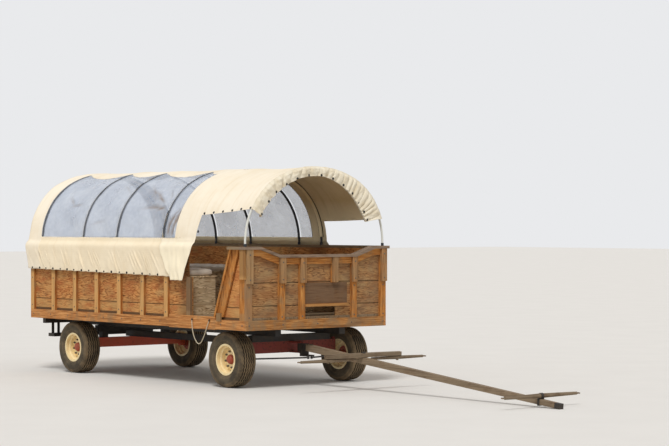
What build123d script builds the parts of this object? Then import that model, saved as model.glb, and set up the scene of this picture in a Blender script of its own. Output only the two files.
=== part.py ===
from build123d import *
import math
import os

# Covered wagon: a timber box on a four-wheel steerable running gear, with a canvas canopy on tube bows.
# Millimetres. +X is forward, -Y is the right side, +Z is up.
# The origin is on the ground, under the centre of the whole wagon with its pole lowered.
os.makedirs("parts", exist_ok=True)

# Box
box_l = 5360
box_w = 2440
sill_bottom = 790
sill_h = 130
board_t = 38
butt_gap = 0.8
seat_gap = 0.3
stake_w = 89
ply_t = 18
deck_t = 35
deck_planks = 9
plank_gap = 4
crossbeam_count = 9
wall_top = 1862
rail_w = 96
rail_overhang = 40
corner_w = 110

# Front wall
cap_flat = 220
cap_slope_end = 555
cap_drop = 110
cap_depth = 100
cap_out = 8
cleat_t = 30
cleat_bottom = 1410
rail_h = 89
footwell_y = (-240, 340)
footwell_top = 1080
patch_y = (-218, 536)
patch_t = 12
patch_bottom = 1115
patch_top = 1405
ledge_h = 28
ledge_out = 24
corner_stake_w = 100

# Door at the right side, as distances behind the front face
door_back = 1260
door_post_w = 90
door_post_top = 1480
high_wall_front = 1345
door_front_low = 690
door_front_high = 340
door_sill_back = 1755
door_sill_bottom = 780
door_sill_top = 956
foot_block_h = 110
foot_block_t = 25
foot_block_in = 60
foot_block_up = 52

# Side stakes
side_stakes = 7
last_stake = 1880
rear_stakes = 4

# Benches
bench_d = 440
bench_h = 535
cushion_t = 105
cushion_gap = 12
cushions_a_side = 4
lid_out = 15
driver_front = 520
driver_depth = 400
driver_right = 350
driver_top = 1590
driver_leg = 60
driver_cushion_t = 85

# Canopy
bow_r = 14.75
bow_in = 20
bow_leg = 50
bow_rise = 1010
bow_side_r = 960
bow_end = 50
last_window_bow = 310
inner_bows = (1390, 1900, 3060, 3930)
socket_r = 20
socket_h = 38
canvas_t = 6
canvas_gap = 0.5
canopy_past = 36
skirt_rear = 1530
skirt_front = 1462
tongue_bottom = 1422
tongue_back = 1760
tongue_front = 1420
door_drape_d = 1080
door_drape_z = 2080
door_head_d = 1070
window_front = 1610
window_sill = 2010
window_top_y = 390
door_head_back = 2330
door_head_front = 2400
left_open_back = 1290
left_head_back = 2240
left_head_front = 2270
ruffle_w = 130
ruffle_t = 5
cut_past = 10

# Running gear
wheel_r = 378.5
tyre_w = 282
track_half = 985
front_axle_d = 620
rear_axle_d = 4380
beam_depth = 100
rear_beam_bottom = 365
rear_beam_top = 505
front_beam_bottom = 440
front_beam_top = 595
reach_w = 90
bolster_half = 680
stringer_y = 560
stringer_w = 100
stringer_in = 120
reach_past = 120
tyre_clear = 15
collar_r = 42
spindle_out = 37

# Rear step
step_bar_half = 1020
step_bar_h = 90
step_bar_depth = 80
step_bar_in = 20
tread_half = 910
tread_depth = 160
tread_bottom = 495
tread_top = 545
hanger_places = (770, 870)
hanger_w = 40
hanger_t = 15
hanger_in = 55

# Wheels, with s outward from the wheel's middle plane
rim_half = 114
rim_flange_r = 214
rim_seat_r = 194
rim_well_r = 176
rim_t = 6
disc_s = 8
disc_t = 8
hub_inner = 70
hub_outer = 62
spindle_r = 25
fit = 0.1
bead_gap = 0.3
bead_rise = 4
sidewall_h = 86
shoulder_drop = 30
shoulder_in = 12
tread_in = 34
crown_h = 8
well_half = 50
well_ramp = 12
seat_taper = 2
disc_root_s = -16
disc_hole_r = 60
disc_flat_r = 118
disc_foot_r = 146
hub_r = 58
hub_flange_r = 112
hub_flange_t = 12
hub_barrel_r = 56
hub_cap_r = 44
hub_deep = 40

# Steering
kingpin_y = 780
kingpin_r = 22
sleeve_r = 36
arm_x = 200
arm_y = 30
arm_t = 20
arm_z = 400
rod_r = 12
eye_r = 20
eye_bore = 10
head_ahead = 250
head_pin_r = 20
hinge_ahead = 140
hinge_z = 520
gap = 5
knuckle_half = 45
knuckle_bottom = 335
kingpin_cap_r = 30
kingpin_cap_h = 23
arm_half = 22
pin_head_r = 16
pin_head_t = 6
pin_past = 3
rod_slack = 1.5
plate_t = 20
head_half = 45
head_depth = 90
cheek_half = 70
cheek_depth = 25
tongue_half = 58
ear_t = 18
ear_half = 45
ear_past = 26

# Draft gear
pole_l = 4830
pole_root = 88
pole_tip = 66
hinge_pin_r = 12
ferrule_l = 90
doubletree_x = 1180
doubletree_l = 1300
doubletree_t = 50
doubletree_end = 26
doubletree_mid = 45
doubletree_flat = 120
bolt_r = 15
bolt_head_r = 28
bolt_head_h = 14
washer_r = 42
singletree_in = 50
singletree_l = 910
singletree_r = 24
singletree_end = 17
singletree_bore = 10
swivel_head_r = 18
swivel_head_h = 8
bar_flat = 40
yoke_from_tip = 350
yoke_l = 1220
yoke_r = 28
yoke_end = 19
yoke_bore = 15
ring_t = 12
ring_w = 24
band_t = 6
band_w = 40
trace_bore = 12
trace_eye_r = 24
trace_eye_t = 12
trace_eye_out = 30
lug_w = 40
lug_l = 60

# Rope loop at the door sill
rope_r = 6.5
rope_back = 1200
rope_top = 894
rope_span = 390
rope_out = 14
eyelet_h = 24
eyelet_r = 10

# Places along the wagon: the pole's angle on the ground sets how far it reaches ahead.
half_w = box_w / 2
bow_half = half_w - bow_in
canopy_back = box_l + canopy_past
window_back = box_l - last_window_bow
bow_places = (bow_end, *inner_bows, window_back, box_l - bow_end)
singletree_y = doubletree_l / 2 - singletree_in
tip_half = pole_tip / 2
pole_drop = math.asin(hinge_z / math.hypot(pole_l, tip_half)) - math.atan2(tip_half, pole_l)
hinge_d = front_axle_d - head_ahead - hinge_ahead
reach_ahead = pole_l * math.cos(pole_drop) + tip_half * math.sin(pole_drop) - hinge_d
front_x = (canopy_back - reach_ahead) / 2
sill_top = sill_bottom + sill_h
deck_top = sill_top + deck_t
inner_half = half_w - board_t
cap_top = wall_top + board_t


def back(d):
    # x of a place at distance d behind the front face
    return front_x - d


def block(d, y, z):
    # Box between two distances behind the front face, two y and two z
    size = (abs(d[1] - d[0]), abs(y[1] - y[0]), abs(z[1] - z[0]))
    centre = (back((d[0] + d[1]) / 2), (y[0] + y[1]) / 2, (z[0] + z[1]) / 2)
    return Pos(*centre) * Box(*size)


def both_sides(shape):
    return [shape, mirror(shape, about=Plane.XZ)]


def save(name, solids):
    # One file for each node: a single solid, or several that do not touch
    solids = solids if isinstance(solids, list) else [solids]
    shape = solids[0] if len(solids) == 1 else Compound(children=solids)
    shape.label = name
    export_step(shape, f"parts/{name}.step")


def side_prism(points, y):
    # Outline of (distance behind the front face, z) carried across from y[0] to y[1]
    face = make_face(Polyline([(back(d), y[0], z) for d, z in points], close=True))
    return extrude(face, amount=y[1] - y[0], dir=(0, 1, 0))


def front_prism(points, d):
    # Outline of (y, z) carried back from distance d[0] to d[1]
    face = make_face(Polyline([(back(d[0]), y, z) for y, z in points], close=True))
    return extrude(face, amount=d[1] - d[0], dir=(-1, 0, 0))


def turned(points):
    # Solid of revolution about the Y axis from an outline of (radius, s)
    face = make_face(Polyline([(r, s, 0) for r, s in points], close=True))
    return revolve(face, Axis.Y)


# Timber box: sills, crossbeams and deck
sill_face = (-half_w, -inner_half)
door_sill_d = (door_front_low + butt_gap, door_sill_back - butt_gap)
side_sill = block((door_sill_back, box_l), sill_face, (sill_bottom, sill_top))
door_sill = block(door_sill_d, sill_face, (door_sill_bottom, door_sill_top))
front_corner_sill = block((0, door_front_low), sill_face, (sill_bottom, sill_top))
left_sill = mirror(block((0, box_l), sill_face, (sill_bottom, sill_top)), about=Plane.XZ)
save("side_sills", [side_sill, door_sill, front_corner_sill, left_sill])

sill_y = (-inner_half, inner_half)
front_sill = block((0, board_t), sill_y, (sill_bottom, sill_top))
rear_sill = block((box_l - board_t, box_l), sill_y, (sill_bottom, sill_top))
save("end_sills", [front_sill, rear_sill])

beam_pitch = (box_l - 3 * board_t) / (crossbeam_count + 1)
beams = []
for i in range(crossbeam_count):
    beam_d = board_t + beam_pitch * (i + 1)
    beams.append(block((beam_d, beam_d + board_t), sill_y, (sill_bottom, sill_top)))
save("crossbeams", beams)

plank_pitch = (2 * inner_half + plank_gap) / deck_planks
planks = []
for i in range(deck_planks):
    plank_y = -inner_half + plank_pitch * i
    planks.append(
        block((board_t, box_l - board_t), (plank_y, plank_y + plank_pitch - plank_gap), (sill_top, deck_top)))
save("deck_planks", planks)

# Side walls: plywood inside, flat stakes outside, both on the deck and sills
ply_y = (-inner_half, -inner_half + ply_t)
wall_back = box_l - board_t - ply_t
side_end = wall_back - butt_gap
right_wall = block((door_back, side_end), ply_y, (deck_top, door_post_top))
right_wall += block((high_wall_front, side_end), ply_y, (door_post_top, wall_top))
left_wall = mirror(block((board_t + ply_t, side_end), ply_y, (deck_top, wall_top)), about=Plane.XZ)
rear_wall = block((wall_back, box_l - board_t), (-inner_half, inner_half), (deck_top, wall_top))

stake_y = (-half_w, -inner_half)
stake_pitch = (box_l - last_stake) / (side_stakes - 1)
right_stakes = []
left_stakes = []
for i in range(side_stakes):
    stake_d = last_stake + stake_pitch * i
    stake = block((stake_d - stake_w, stake_d), stake_y, (sill_top, wall_top))
    right_stakes.append(stake)
    left_stakes.append(mirror(stake, about=Plane.XZ))
for stake_d in (last_stake - stake_pitch, last_stake - 2 * stake_pitch):
    stake = block((stake_d - stake_w, stake_d), stake_y, (sill_top, wall_top))
    left_stakes.append(mirror(stake, about=Plane.XZ))
left_corner = block((board_t, board_t + stake_w), stake_y, (sill_top, wall_top))
left_stakes.append(mirror(left_corner, about=Plane.XZ))
rear_pitch = (2 * inner_half - 2 * butt_gap - stake_w) / (rear_stakes - 1)
rear_row = []
for i in range(rear_stakes):
    post_y = -inner_half + butt_gap + rear_pitch * i
    rear_row.append(block((box_l - board_t, box_l), (post_y, post_y + stake_w), (sill_top, wall_top)))
save("wall_stakes", right_stakes + left_stakes + rear_row)

# Front side panel by the door: a plywood trapezoid with a doubled diagonal edge
panel = side_prism(
    [
        (board_t + ply_t, deck_top),
        (door_front_low, deck_top),
        (door_front_high, wall_top),
        (board_t + ply_t, wall_top),
    ],
    ply_y,
)
save("box_walls", [right_wall, left_wall, rear_wall, panel])
edge_low = door_front_low - butt_gap
edge_foot = door_sill_top + butt_gap
diagonals = []
for ahead, outer_y in ((0, -inner_half - ply_t), (stake_w, -half_w)):
    board = side_prism(
        [
            (edge_low - ahead - stake_w, edge_foot),
            (edge_low - ahead - butt_gap, edge_foot),
            (door_front_high - ahead - butt_gap, wall_top),
            (door_front_high - ahead - stake_w, wall_top),
        ],
        (outer_y, -inner_half),
    )
    diagonals.append(board)
edge_board = side_prism(
    [
        (door_front_low, edge_foot),
        (door_front_low + board_t, edge_foot),
        (door_front_high + board_t, wall_top),
        (door_front_high, wall_top),
    ],
    (-half_w, -half_w + stake_w),
)
save("door_diagonals", diagonals + [edge_board])
corner_post = block((board_t, board_t + corner_w), stake_y, (sill_top, wall_top))
door_post = block((door_back, door_back + door_post_w), stake_y, (door_sill_top, door_post_top))
foot_d = door_front_low - foot_block_in
foot_z = door_sill_top + foot_block_up - foot_block_h
foot_y = (-half_w - foot_block_t, -half_w)
foot_block = block((foot_d - stake_w, foot_d), foot_y, (foot_z, foot_z + foot_block_h))
save("door_posts", [corner_post, foot_block, door_post])

# Front wall: everything stops under a cap whose line drops towards the middle.
def cap_line(drop):
    # Points of (y, z) of the cap's line from right to left, moved down by drop
    low = cap_top - cap_drop - drop
    high = cap_top - drop
    half = half_w + rail_overhang
    return [
        (-half, high),
        (-half_w + cap_flat, high),
        (-half_w + cap_slope_end, low),
        (half_w - cap_slope_end, low),
        (half_w - cap_flat, high),
        (half, high),
    ]


def cap_band(top, bottom, d):
    # Board between two drops below the cap's line
    return front_prism(cap_line(top) + cap_line(bottom)[::-1], d)


def under_cap(y, d, bottom, drop):
    # Upright piece between two y, cut to the cap's line
    upright = block(d, y, (bottom, cap_top))
    keep = front_prism(cap_line(drop) + [(half_w + rail_overhang, 0), (-half_w - rail_overhang, 0)], d)
    return upright & keep


front_ply = under_cap((-inner_half, inner_half), (board_t, board_t + ply_t), deck_top, board_t)
footwell = block((0, 3 * board_t), footwell_y, (deck_top - gap, footwell_top))
save("front_wall", front_ply - footwell)
save("front_cap", cap_band(0, board_t, (-cleat_t - cap_out, cap_depth)))

# Columns of the stake table: y from, y to, lower end
front_stakes = [
    (-half_w, -half_w + corner_stake_w, sill_top),
    (-665, -565, sill_top),
    (-310, -220, sill_top),
    (250, 340, patch_top + butt_gap),
    (600, 690, sill_top),
    (half_w - corner_stake_w, half_w, sill_top),
]
stakes = []
cleats = []
for y_from, y_to, low_end in front_stakes:
    stakes.append(under_cap((y_from, y_to), (0, board_t), low_end, board_t))
    cleats.append(under_cap((y_from, y_to), (-cleat_t, 0), cleat_bottom, board_t))
save("front_stakes", stakes)
save("front_cleats", cleats)
rails = []
for before, after in zip(front_stakes[:-1], front_stakes[1:]):
    band = cap_band(board_t, board_t + rail_h, (0, board_t))
    rails.append(band & block((0, board_t), (before[1], after[0]), (deck_top, cap_top)))
save("front_rails", rails)
patch = block((board_t - patch_t, board_t), patch_y, (patch_bottom, patch_top))
ledge = block((-ledge_out, board_t), patch_y, (patch_bottom - ledge_h, patch_bottom))
save("front_patch", patch + ledge)

# Top rails carry the bows. They stand out past the stakes and hold the canvas off them.
rail_y = (-half_w - rail_overhang, -half_w - rail_overhang + rail_w)
right_rail = block((high_wall_front, box_l), rail_y, (wall_top, cap_top))
door_cap = block((cap_depth, door_front_high + board_t), rail_y, (wall_top, cap_top))
left_rail = mirror(block((cap_depth, box_l), rail_y, (wall_top, cap_top)), about=Plane.XZ)
rear_rail_y = (rail_y[1] + butt_gap, -rail_y[1] - butt_gap)
rear_rail = block((box_l - rail_w, box_l), rear_rail_y, (wall_top, cap_top))
save("top_rails", [right_rail, door_cap, left_rail, rear_rail])

# Box benches along both sides, a seat for the driver, and their cushions
bench_y = (-inner_half + ply_t, -inner_half + ply_t + bench_d)
bench_top = deck_top + bench_h
bench_start = door_back + door_post_w
benches = []
pads = []
for side, start in (("right", bench_start), ("left", driver_front + driver_depth + driver_leg)):
    face_panel = block((start, wall_back), (bench_y[1] - ply_t, bench_y[1]), (deck_top, bench_top - ply_t))
    end_panel = block((start, start + ply_t), (bench_y[0], bench_y[1] - ply_t), (deck_top, bench_top - ply_t))
    lid_y = (bench_y[0], bench_y[1] + lid_out)
    lid = block((start - lid_out, wall_back), lid_y, (bench_top - ply_t, bench_top))
    bench = face_panel + end_panel + lid
    pad_l = (wall_back - start + cushion_gap) / cushions_a_side
    pad_y = (bench_y[0] + butt_gap, bench_y[1])
    pad_z = (bench_top + seat_gap, bench_top + cushion_t)
    row = []
    for i in range(cushions_a_side):
        pad_d = start + pad_l * i
        row.append(block((pad_d, pad_d + pad_l - cushion_gap), pad_y, pad_z))
    if side == "left":
        bench = mirror(bench, about=Plane.XZ)
        row = [mirror(pad, about=Plane.XZ) for pad in row]
    benches.append(bench)
    pads += row
save("benches", benches)

driver_d = (driver_front, driver_front + driver_depth)
driver_y = (-driver_right, inner_half - ply_t)
driver_end_y = (inner_half - ply_t - driver_leg, inner_half - ply_t)
seat_board = block(driver_d, driver_y, (driver_top - board_t, driver_top))
near_leg = block(driver_d, (-driver_right, -driver_right + board_t), (deck_top, driver_top - board_t))
far_leg = block(driver_d, driver_end_y, (deck_top, driver_top - board_t))
save("driver_bench", seat_board + near_leg + far_leg)
driver_pad_z = (driver_top + seat_gap, driver_top + driver_cushion_t)
pads.append(block(driver_d, (driver_y[0], driver_y[1] - butt_gap), driver_pad_z))
save("cushions", pads)

# Bows: three-centred arches of round tube on straight legs
bow_z0 = cap_top + bow_leg
side_c = bow_half - bow_side_r
crown_r = (bow_rise**2 + side_c**2 - bow_side_r**2) / (2 * (bow_rise - bow_side_r))
crown_z = bow_z0 + bow_rise - crown_r
meet = math.atan2(bow_z0 - crown_z, side_c)


def arch_points(offset):
    # Spring, side middle, tangent, crown, and back, for an arch moved out by offset
    r_side = bow_side_r + offset
    half_turn = meet / 2
    side_mid = (side_c + r_side * math.cos(half_turn), bow_z0 + r_side * math.sin(half_turn))
    tangent = (side_c + r_side * math.cos(meet), bow_z0 + r_side * math.sin(meet))
    crown = (0, crown_z + crown_r + offset)
    return (bow_half + offset, bow_z0), side_mid, tangent, crown


def arch_edges(offset, x):
    # The arch's three arcs from left to right, as edges in the plane at x
    spring, side_mid, tangent, crown = arch_points(offset)
    left = [(x, y, z) for y, z in (spring, side_mid, tangent)]
    right = [(x, -y, z) for y, z in (tangent, side_mid, spring)]
    crown_point = (x, crown[0], crown[1])
    return [
        ThreePointArc(*left),
        ThreePointArc(left[2], crown_point, right[0]),
        ThreePointArc(*right),
    ]


def bow(d):
    x = back(d)
    left_leg = Line((x, bow_half, cap_top), (x, bow_half, bow_z0))
    right_leg = Line((x, -bow_half, bow_z0), (x, -bow_half, cap_top))
    path = Wire([left_leg] + arch_edges(0, x) + [right_leg])
    profile = Plane(origin=(x, bow_half, cap_top), z_dir=(0, 0, 1)) * Circle(bow_r)
    return sweep(profile, path=path)


save("front_bow", bow(bow_places[0]))
save("bows", [bow(d) for d in bow_places[1:]])
sockets = []
for d in bow_places:
    cup = Pos(back(d), bow_half, cap_top + socket_h / 2) * Cylinder(socket_r, socket_h)
    cup -= Pos(back(d), bow_half, cap_top + socket_h / 2) * Cylinder(bow_r + seat_gap, socket_h)
    sockets += both_sides(cup)
save("bow_sockets", sockets)


# Canopy: one shell over the bows, with a skirt that clears the rail and leans in to the stakes
def canopy_solid(inner, d):
    outer = inner + canvas_t
    x = back(d[0])
    rail_out = half_w + rail_overhang + canvas_gap
    stake_out = half_w + canvas_gap
    low = tongue_bottom - cut_past

    def skirt(extra, side):
        return [
            (x, side * (bow_half + inner + extra), bow_z0),
            (x, side * (rail_out + extra), cap_top),
            (x, side * (rail_out + extra), wall_top),
            (x, side * (stake_out + extra), low),
        ]

    def outline(offset, extra):
        left = skirt(extra, 1)[::-1]
        right = skirt(extra, -1)
        edges = [Line(a, b) for a, b in zip(left[:-1], left[1:])]
        edges += arch_edges(offset, x)
        edges += [Line(a, b) for a, b in zip(right[:-1], right[1:])]
        return edges, left[0], right[-1]

    inside, in_left, in_right = outline(inner, 0)
    outside, out_left, out_right = outline(outer, canvas_t)
    ends = [Line(in_left, out_left), Line(in_right, out_right)]
    face = make_face(Wire(inside + outside + ends))
    return extrude(face, amount=d[1] - d[0], dir=(-1, 0, 0))


shell = canopy_solid(bow_r + canvas_gap, (0, canopy_back))
far_out = half_w + 20 * cut_past
far_up = bow_z0 + bow_rise + 20 * cut_past
far_down = tongue_bottom - 10 * cut_past
behind = canopy_back + cut_past
# Lower edge of the canvas at the right side, as (distance behind the front face, z)
right_edge = [
    (behind, skirt_rear),
    (tongue_back, skirt_front),
    (tongue_back - cut_past, tongue_bottom),
    (tongue_front, tongue_bottom),
    (door_drape_d, door_drape_z),
    (door_head_d, door_head_back),
    (-cut_past, door_head_front),
]
left_edge = [
    (behind, skirt_rear),
    (left_open_back, skirt_front),
    (left_open_back, left_head_back),
    (-cut_past, left_head_front),
]
below = [(-cut_past, far_down), (behind, far_down)]
right_cut = side_prism(right_edge + below, (-far_out, 0))
left_cut = side_prism(left_edge + below, (0, far_out))
cover = shell - right_cut - left_cut
window_zone = block((window_front, window_back), (-far_out, -window_top_y), (window_sill, far_up))
window_zones = both_sides(window_zone)
for zone in window_zones:
    cover -= zone
save("canopy_cover", cover)
save("side_windows", [shell & zone for zone in window_zones])

ruffle_out = arch_edges(bow_r + canvas_gap, back(0))
ruffle_in = arch_edges(-ruffle_w, back(0))
ends = [Line(ruffle_out[0] @ 0, ruffle_in[0] @ 0), Line(ruffle_out[2] @ 1, ruffle_in[2] @ 1)]
ruffle_face = make_face(Wire(ruffle_out + ruffle_in + ends))
ruffle = extrude(ruffle_face, amount=ruffle_t, dir=(-1, 0, 0))
ruffle -= block((-cut_past, cut_past), (-far_out, 0), (far_down, door_head_front))
ruffle -= block((-cut_past, cut_past), (0, far_out), (far_down, left_head_front))
save("front_ruffle", ruffle)

curtain_x = back(box_l + canvas_gap)
curtain_arch = arch_edges(bow_r, curtain_x)
curtain_half = bow_half + bow_r
curtain_foot = [Line((curtain_x, curtain_half, skirt_rear), (curtain_x, curtain_half, bow_z0)),
                Line((curtain_x, -curtain_half, bow_z0), (curtain_x, -curtain_half, skirt_rear)),
                Line((curtain_x, -curtain_half, skirt_rear), (curtain_x, curtain_half, skirt_rear))]
curtain_face = make_face(Wire(curtain_arch + curtain_foot))
save("rear_curtain", extrude(curtain_face, amount=canvas_t, dir=(-1, 0, 0)))

# Running gear: reach, axles, bolsters and stringers
rear_x = back(rear_axle_d)
axle_x = back(front_axle_d)
half_beam = beam_depth / 2
reach_d = (front_axle_d + half_beam, rear_axle_d + half_beam + reach_past)
save("reach", block(reach_d, (-reach_w / 2, reach_w / 2), (rear_beam_top, rear_beam_top + reach_w)))

beam_end = track_half - tyre_w / 2 - tyre_clear
rear_beam_d = (rear_axle_d - half_beam, rear_axle_d + half_beam)
rear_beam = block(rear_beam_d, (-beam_end, beam_end), (rear_beam_bottom, rear_beam_top))
collar_end = track_half - hub_inner - gap
spindle_tip = track_half + spindle_out


def stub(x, start):
    # Collar and spindle of a right-hand wheel, from y = -start outwards
    collar = Pos(x, -(start + collar_end) / 2, wheel_r) * Rot(90, 0, 0) * Cylinder(collar_r, collar_end - start)
    spindle_l = spindle_tip - collar_end
    spindle = Pos(x, -(collar_end + spindle_tip) / 2, wheel_r) * Rot(90, 0, 0) * Cylinder(spindle_r, spindle_l)
    return collar + spindle


rear_stub = stub(rear_x, beam_end)
save("rear_axle", rear_beam + rear_stub + mirror(rear_stub, about=Plane.XZ))

front_beam_d = (front_axle_d - half_beam, front_axle_d + half_beam)
front_axle = block(front_beam_d, (-kingpin_y, kingpin_y), (front_beam_bottom, front_beam_top))
sleeve_h = front_beam_top - front_beam_bottom
for side in (-1, 1):
    place = Pos(axle_x, side * kingpin_y, (front_beam_top + front_beam_bottom) / 2)
    front_axle -= place * Pos(0, side * sleeve_r, 0) * Box(beam_depth, 2 * sleeve_r, sleeve_h)
    front_axle += place * Cylinder(sleeve_r, sleeve_h)
    front_axle -= place * Cylinder(kingpin_r + fit, sleeve_h)

bolster_z = (front_beam_top, sill_bottom - stringer_w)
front_bolster = block(front_beam_d, (-bolster_half, bolster_half), bolster_z)
rear_bolster = block(rear_beam_d, (-bolster_half, bolster_half), (rear_beam_top + reach_w, bolster_z[1]))
post_y = (-stringer_y - stringer_w / 2, -stringer_y + stringer_w / 2)
pedestal = block(rear_beam_d, post_y, (rear_beam_top, rear_beam_top + reach_w))
rear_bolster = rear_bolster + pedestal + mirror(pedestal, about=Plane.XZ)
save("bolsters", [front_bolster, rear_bolster])
stringer = block((board_t + stringer_in, box_l - stringer_in), post_y, (sill_bottom - stringer_w, sill_bottom))
save("stringers", both_sides(stringer))

# Rear step: a cross member, four flat hangers and a tread
step_bar_d = (box_l - step_bar_in - step_bar_depth, box_l - step_bar_in)
hanger_d = (box_l - hanger_in - hanger_t, box_l - hanger_in)
hanger_z = (tread_top, sill_bottom - step_bar_h)
step = block(step_bar_d, (-step_bar_half, step_bar_half), (hanger_z[1], sill_bottom))
step += block((box_l - tread_depth, box_l), (-tread_half, tread_half), (tread_bottom, tread_top))
for y in hanger_places:
    for hanger in both_sides(block(hanger_d, (-y - hanger_w / 2, -y + hanger_w / 2), hanger_z)):
        step += hanger
save("rear_step", step)

# Wheels: tyre, dished steel rim and hub, turned about the spindle
bead = rim_seat_r + seat_taper + bead_gap
bead_top = rim_flange_r + bead_rise
bead_half = rim_half - rim_t - bead_gap
side_out = tyre_w / 2
shoulder = (wheel_r - shoulder_drop, side_out - shoulder_in)
tread_edge = (wheel_r - crown_h, side_out - tread_in)


def tyre_line(p, q):
    return Line((p[0], p[1], 0), (q[0], q[1], 0))


def tyre_arc(p, q, r):
    return ThreePointArc((p[0], p[1], 0), (q[0], q[1], 0), (r[0], r[1], 0))


def inward(p):
    return (p[0], -p[1])


bead_corner = (bead, bead_half)
bead_end = (bead_top, bead_half)
widest = (bead + sidewall_h, side_out)
tyre_wire = Wire(
    [
        tyre_line(inward(bead_corner), bead_corner),
        tyre_line(bead_corner, bead_end),
        tyre_arc(bead_end, widest, shoulder),
        tyre_line(shoulder, tread_edge),
        tyre_arc(tread_edge, (wheel_r, 0), inward(tread_edge)),
        tyre_line(inward(tread_edge), inward(shoulder)),
        tyre_arc(inward(shoulder), inward(widest), inward(bead_end)),
        tyre_line(inward(bead_end), inward(bead_corner)),
    ]
)
tyre = revolve(make_face(tyre_wire), Axis.Y)

# Outlines as (radius, s). The rim's outside runs from the inner flange to the outer one.
ramp_half = well_half + well_ramp
rim_outside = [
    (rim_flange_r, rim_half - rim_t),
    (rim_seat_r + seat_taper, rim_half - rim_t),
    (rim_seat_r - seat_taper, ramp_half),
    (rim_well_r, well_half),
]
rim_inside = [
    (rim_seat_r - rim_t, rim_half),
    (rim_seat_r - seat_taper - rim_t, ramp_half + seat_taper),
    (rim_well_r - rim_t, well_half + seat_taper),
]
rim_half_outline = [(rim_flange_r, rim_half)] + rim_outside
rim_outline = [inward(p) for p in rim_half_outline] + rim_half_outline[::-1]
rim_outline += rim_inside + [inward(p) for p in rim_inside][::-1]
disc_back = [
    (disc_hole_r, disc_s),
    (disc_flat_r, disc_s),
    (disc_foot_r, disc_root_s),
    (rim_well_r - seat_taper, disc_root_s),
]
disc = turned(disc_back + [(r, s + disc_t) for r, s in disc_back[::-1]])
rim = turned(rim_outline) + disc
hub_bore = spindle_r + fit
flange_s = disc_s - hub_flange_t
hub = turned(
    [
        (hub_bore, -hub_inner),
        (hub_barrel_r, -hub_inner),
        (hub_barrel_r, flange_s),
        (hub_flange_r, flange_s),
        (hub_flange_r, disc_s),
        (hub_r, disc_s),
        (hub_r, hub_outer - 2 * hub_flange_t),
        (hub_cap_r, hub_outer),
        (0, hub_outer),
        (0, hub_deep),
        (hub_bore, hub_deep),
    ]
)
# Columns of the wheel table: name, axle's x, side
wheels = [("rr", rear_x, -1), ("rl", rear_x, 1), ("fr", axle_x, -1), ("fl", axle_x, 1)]
for name, x, side in wheels:
    for piece_name, piece in (("tyre", tyre), ("rim", rim), ("hub", hub)):
        placed = piece if side > 0 else mirror(piece, about=Plane.XZ)
        save(f"{piece_name}_{name}", Pos(x, side * track_half, wheel_r) * placed)


# Steering: knuckles on kingpins, tie rods to the steering head
def link(p, q, r, z):
    # Flat bar with round ends between two points of (x, y), between two z
    length = math.hypot(q[0] - p[0], q[1] - p[1])
    turn = math.degrees(math.atan2(q[1] - p[1], q[0] - p[0]))
    height = z[1] - z[0]
    middle = (z[0] + z[1]) / 2
    bar = Pos((p[0] + q[0]) / 2, (p[1] + q[1]) / 2, middle) * Rot(0, 0, turn) * Box(length, 2 * r, height)
    for x, y in (p, q):
        bar += Pos(x, y, middle) * Cylinder(r, height)
    return bar


def post(x, y, r, z):
    # Upright round pin between two z
    return Pos(x, y, (z[0] + z[1]) / 2) * Cylinder(r, z[1] - z[0])


head_x = axle_x + head_ahead
hinge_x = head_x + hinge_ahead
pin_r = eye_bore - fit
rod_z = (arm_z - gap - arm_t, arm_z - gap)
pin_z = (rod_z[0] - pin_past, arm_z + pin_past)
pin_head_z = (pin_z[0] - pin_head_t, pin_z[0])
block_top = front_beam_bottom - gap
cap_z = (front_beam_top + gap, front_beam_top + gap + kingpin_cap_h)
knuckle_d = (front_axle_d - knuckle_half, front_axle_d + knuckle_half)
knuckle_y = (-kingpin_y - knuckle_half, -kingpin_y + knuckle_half)
knuckle = block(knuckle_d, knuckle_y, (knuckle_bottom, block_top))
knuckle += post(axle_x, -kingpin_y, kingpin_r, (block_top - gap, cap_z[1] + gap))
knuckle += post(axle_x, -kingpin_y, kingpin_cap_r, cap_z)
knuckle += stub(axle_x, kingpin_y + knuckle_half - gap)
arm_tip = (axle_x + arm_x, -kingpin_y - arm_y)
knuckle += link((axle_x + knuckle_half - arm_half, -kingpin_y), arm_tip, arm_half, (arm_z, arm_z + arm_t))
knuckle += post(*arm_tip, pin_r, pin_z)
knuckle += post(*arm_tip, pin_head_r, pin_head_z)
save("knuckle_r", knuckle)
save("knuckle_l", mirror(knuckle, about=Plane.XZ))

head_eye = (head_x + arm_x, -arm_y)
rod = link(head_eye, arm_tip, rod_r, (rod_z[0], rod_z[1]))
rod += post(*head_eye, eye_r, rod_z)
rod += post(*arm_tip, eye_r, rod_z)
rod -= post(*head_eye, eye_bore, rod_z)
rod -= post(*arm_tip, eye_bore + rod_slack, rod_z)
save("tie_rod_r", rod)
save("tie_rod_l", mirror(rod, about=Plane.XZ))

# Drawbar bracket on the axle, and the head that turns between its plates
bracket_top = (front_beam_top - plate_t, front_beam_top)
bracket_low = (front_beam_bottom, front_beam_bottom + plate_t)
head_pin_z = (front_beam_bottom - pin_head_t, front_beam_top + 2 * pin_head_t)
bracket = post(head_x, 0, head_pin_r, head_pin_z) + front_axle
for z in (bracket_low, bracket_top):
    plate_d = (front_axle_d - head_ahead, front_axle_d - half_beam)
    bracket += block(plate_d, (-head_half, head_half), z) + post(head_x, 0, head_half, z)
save("front_axle", bracket)

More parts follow.
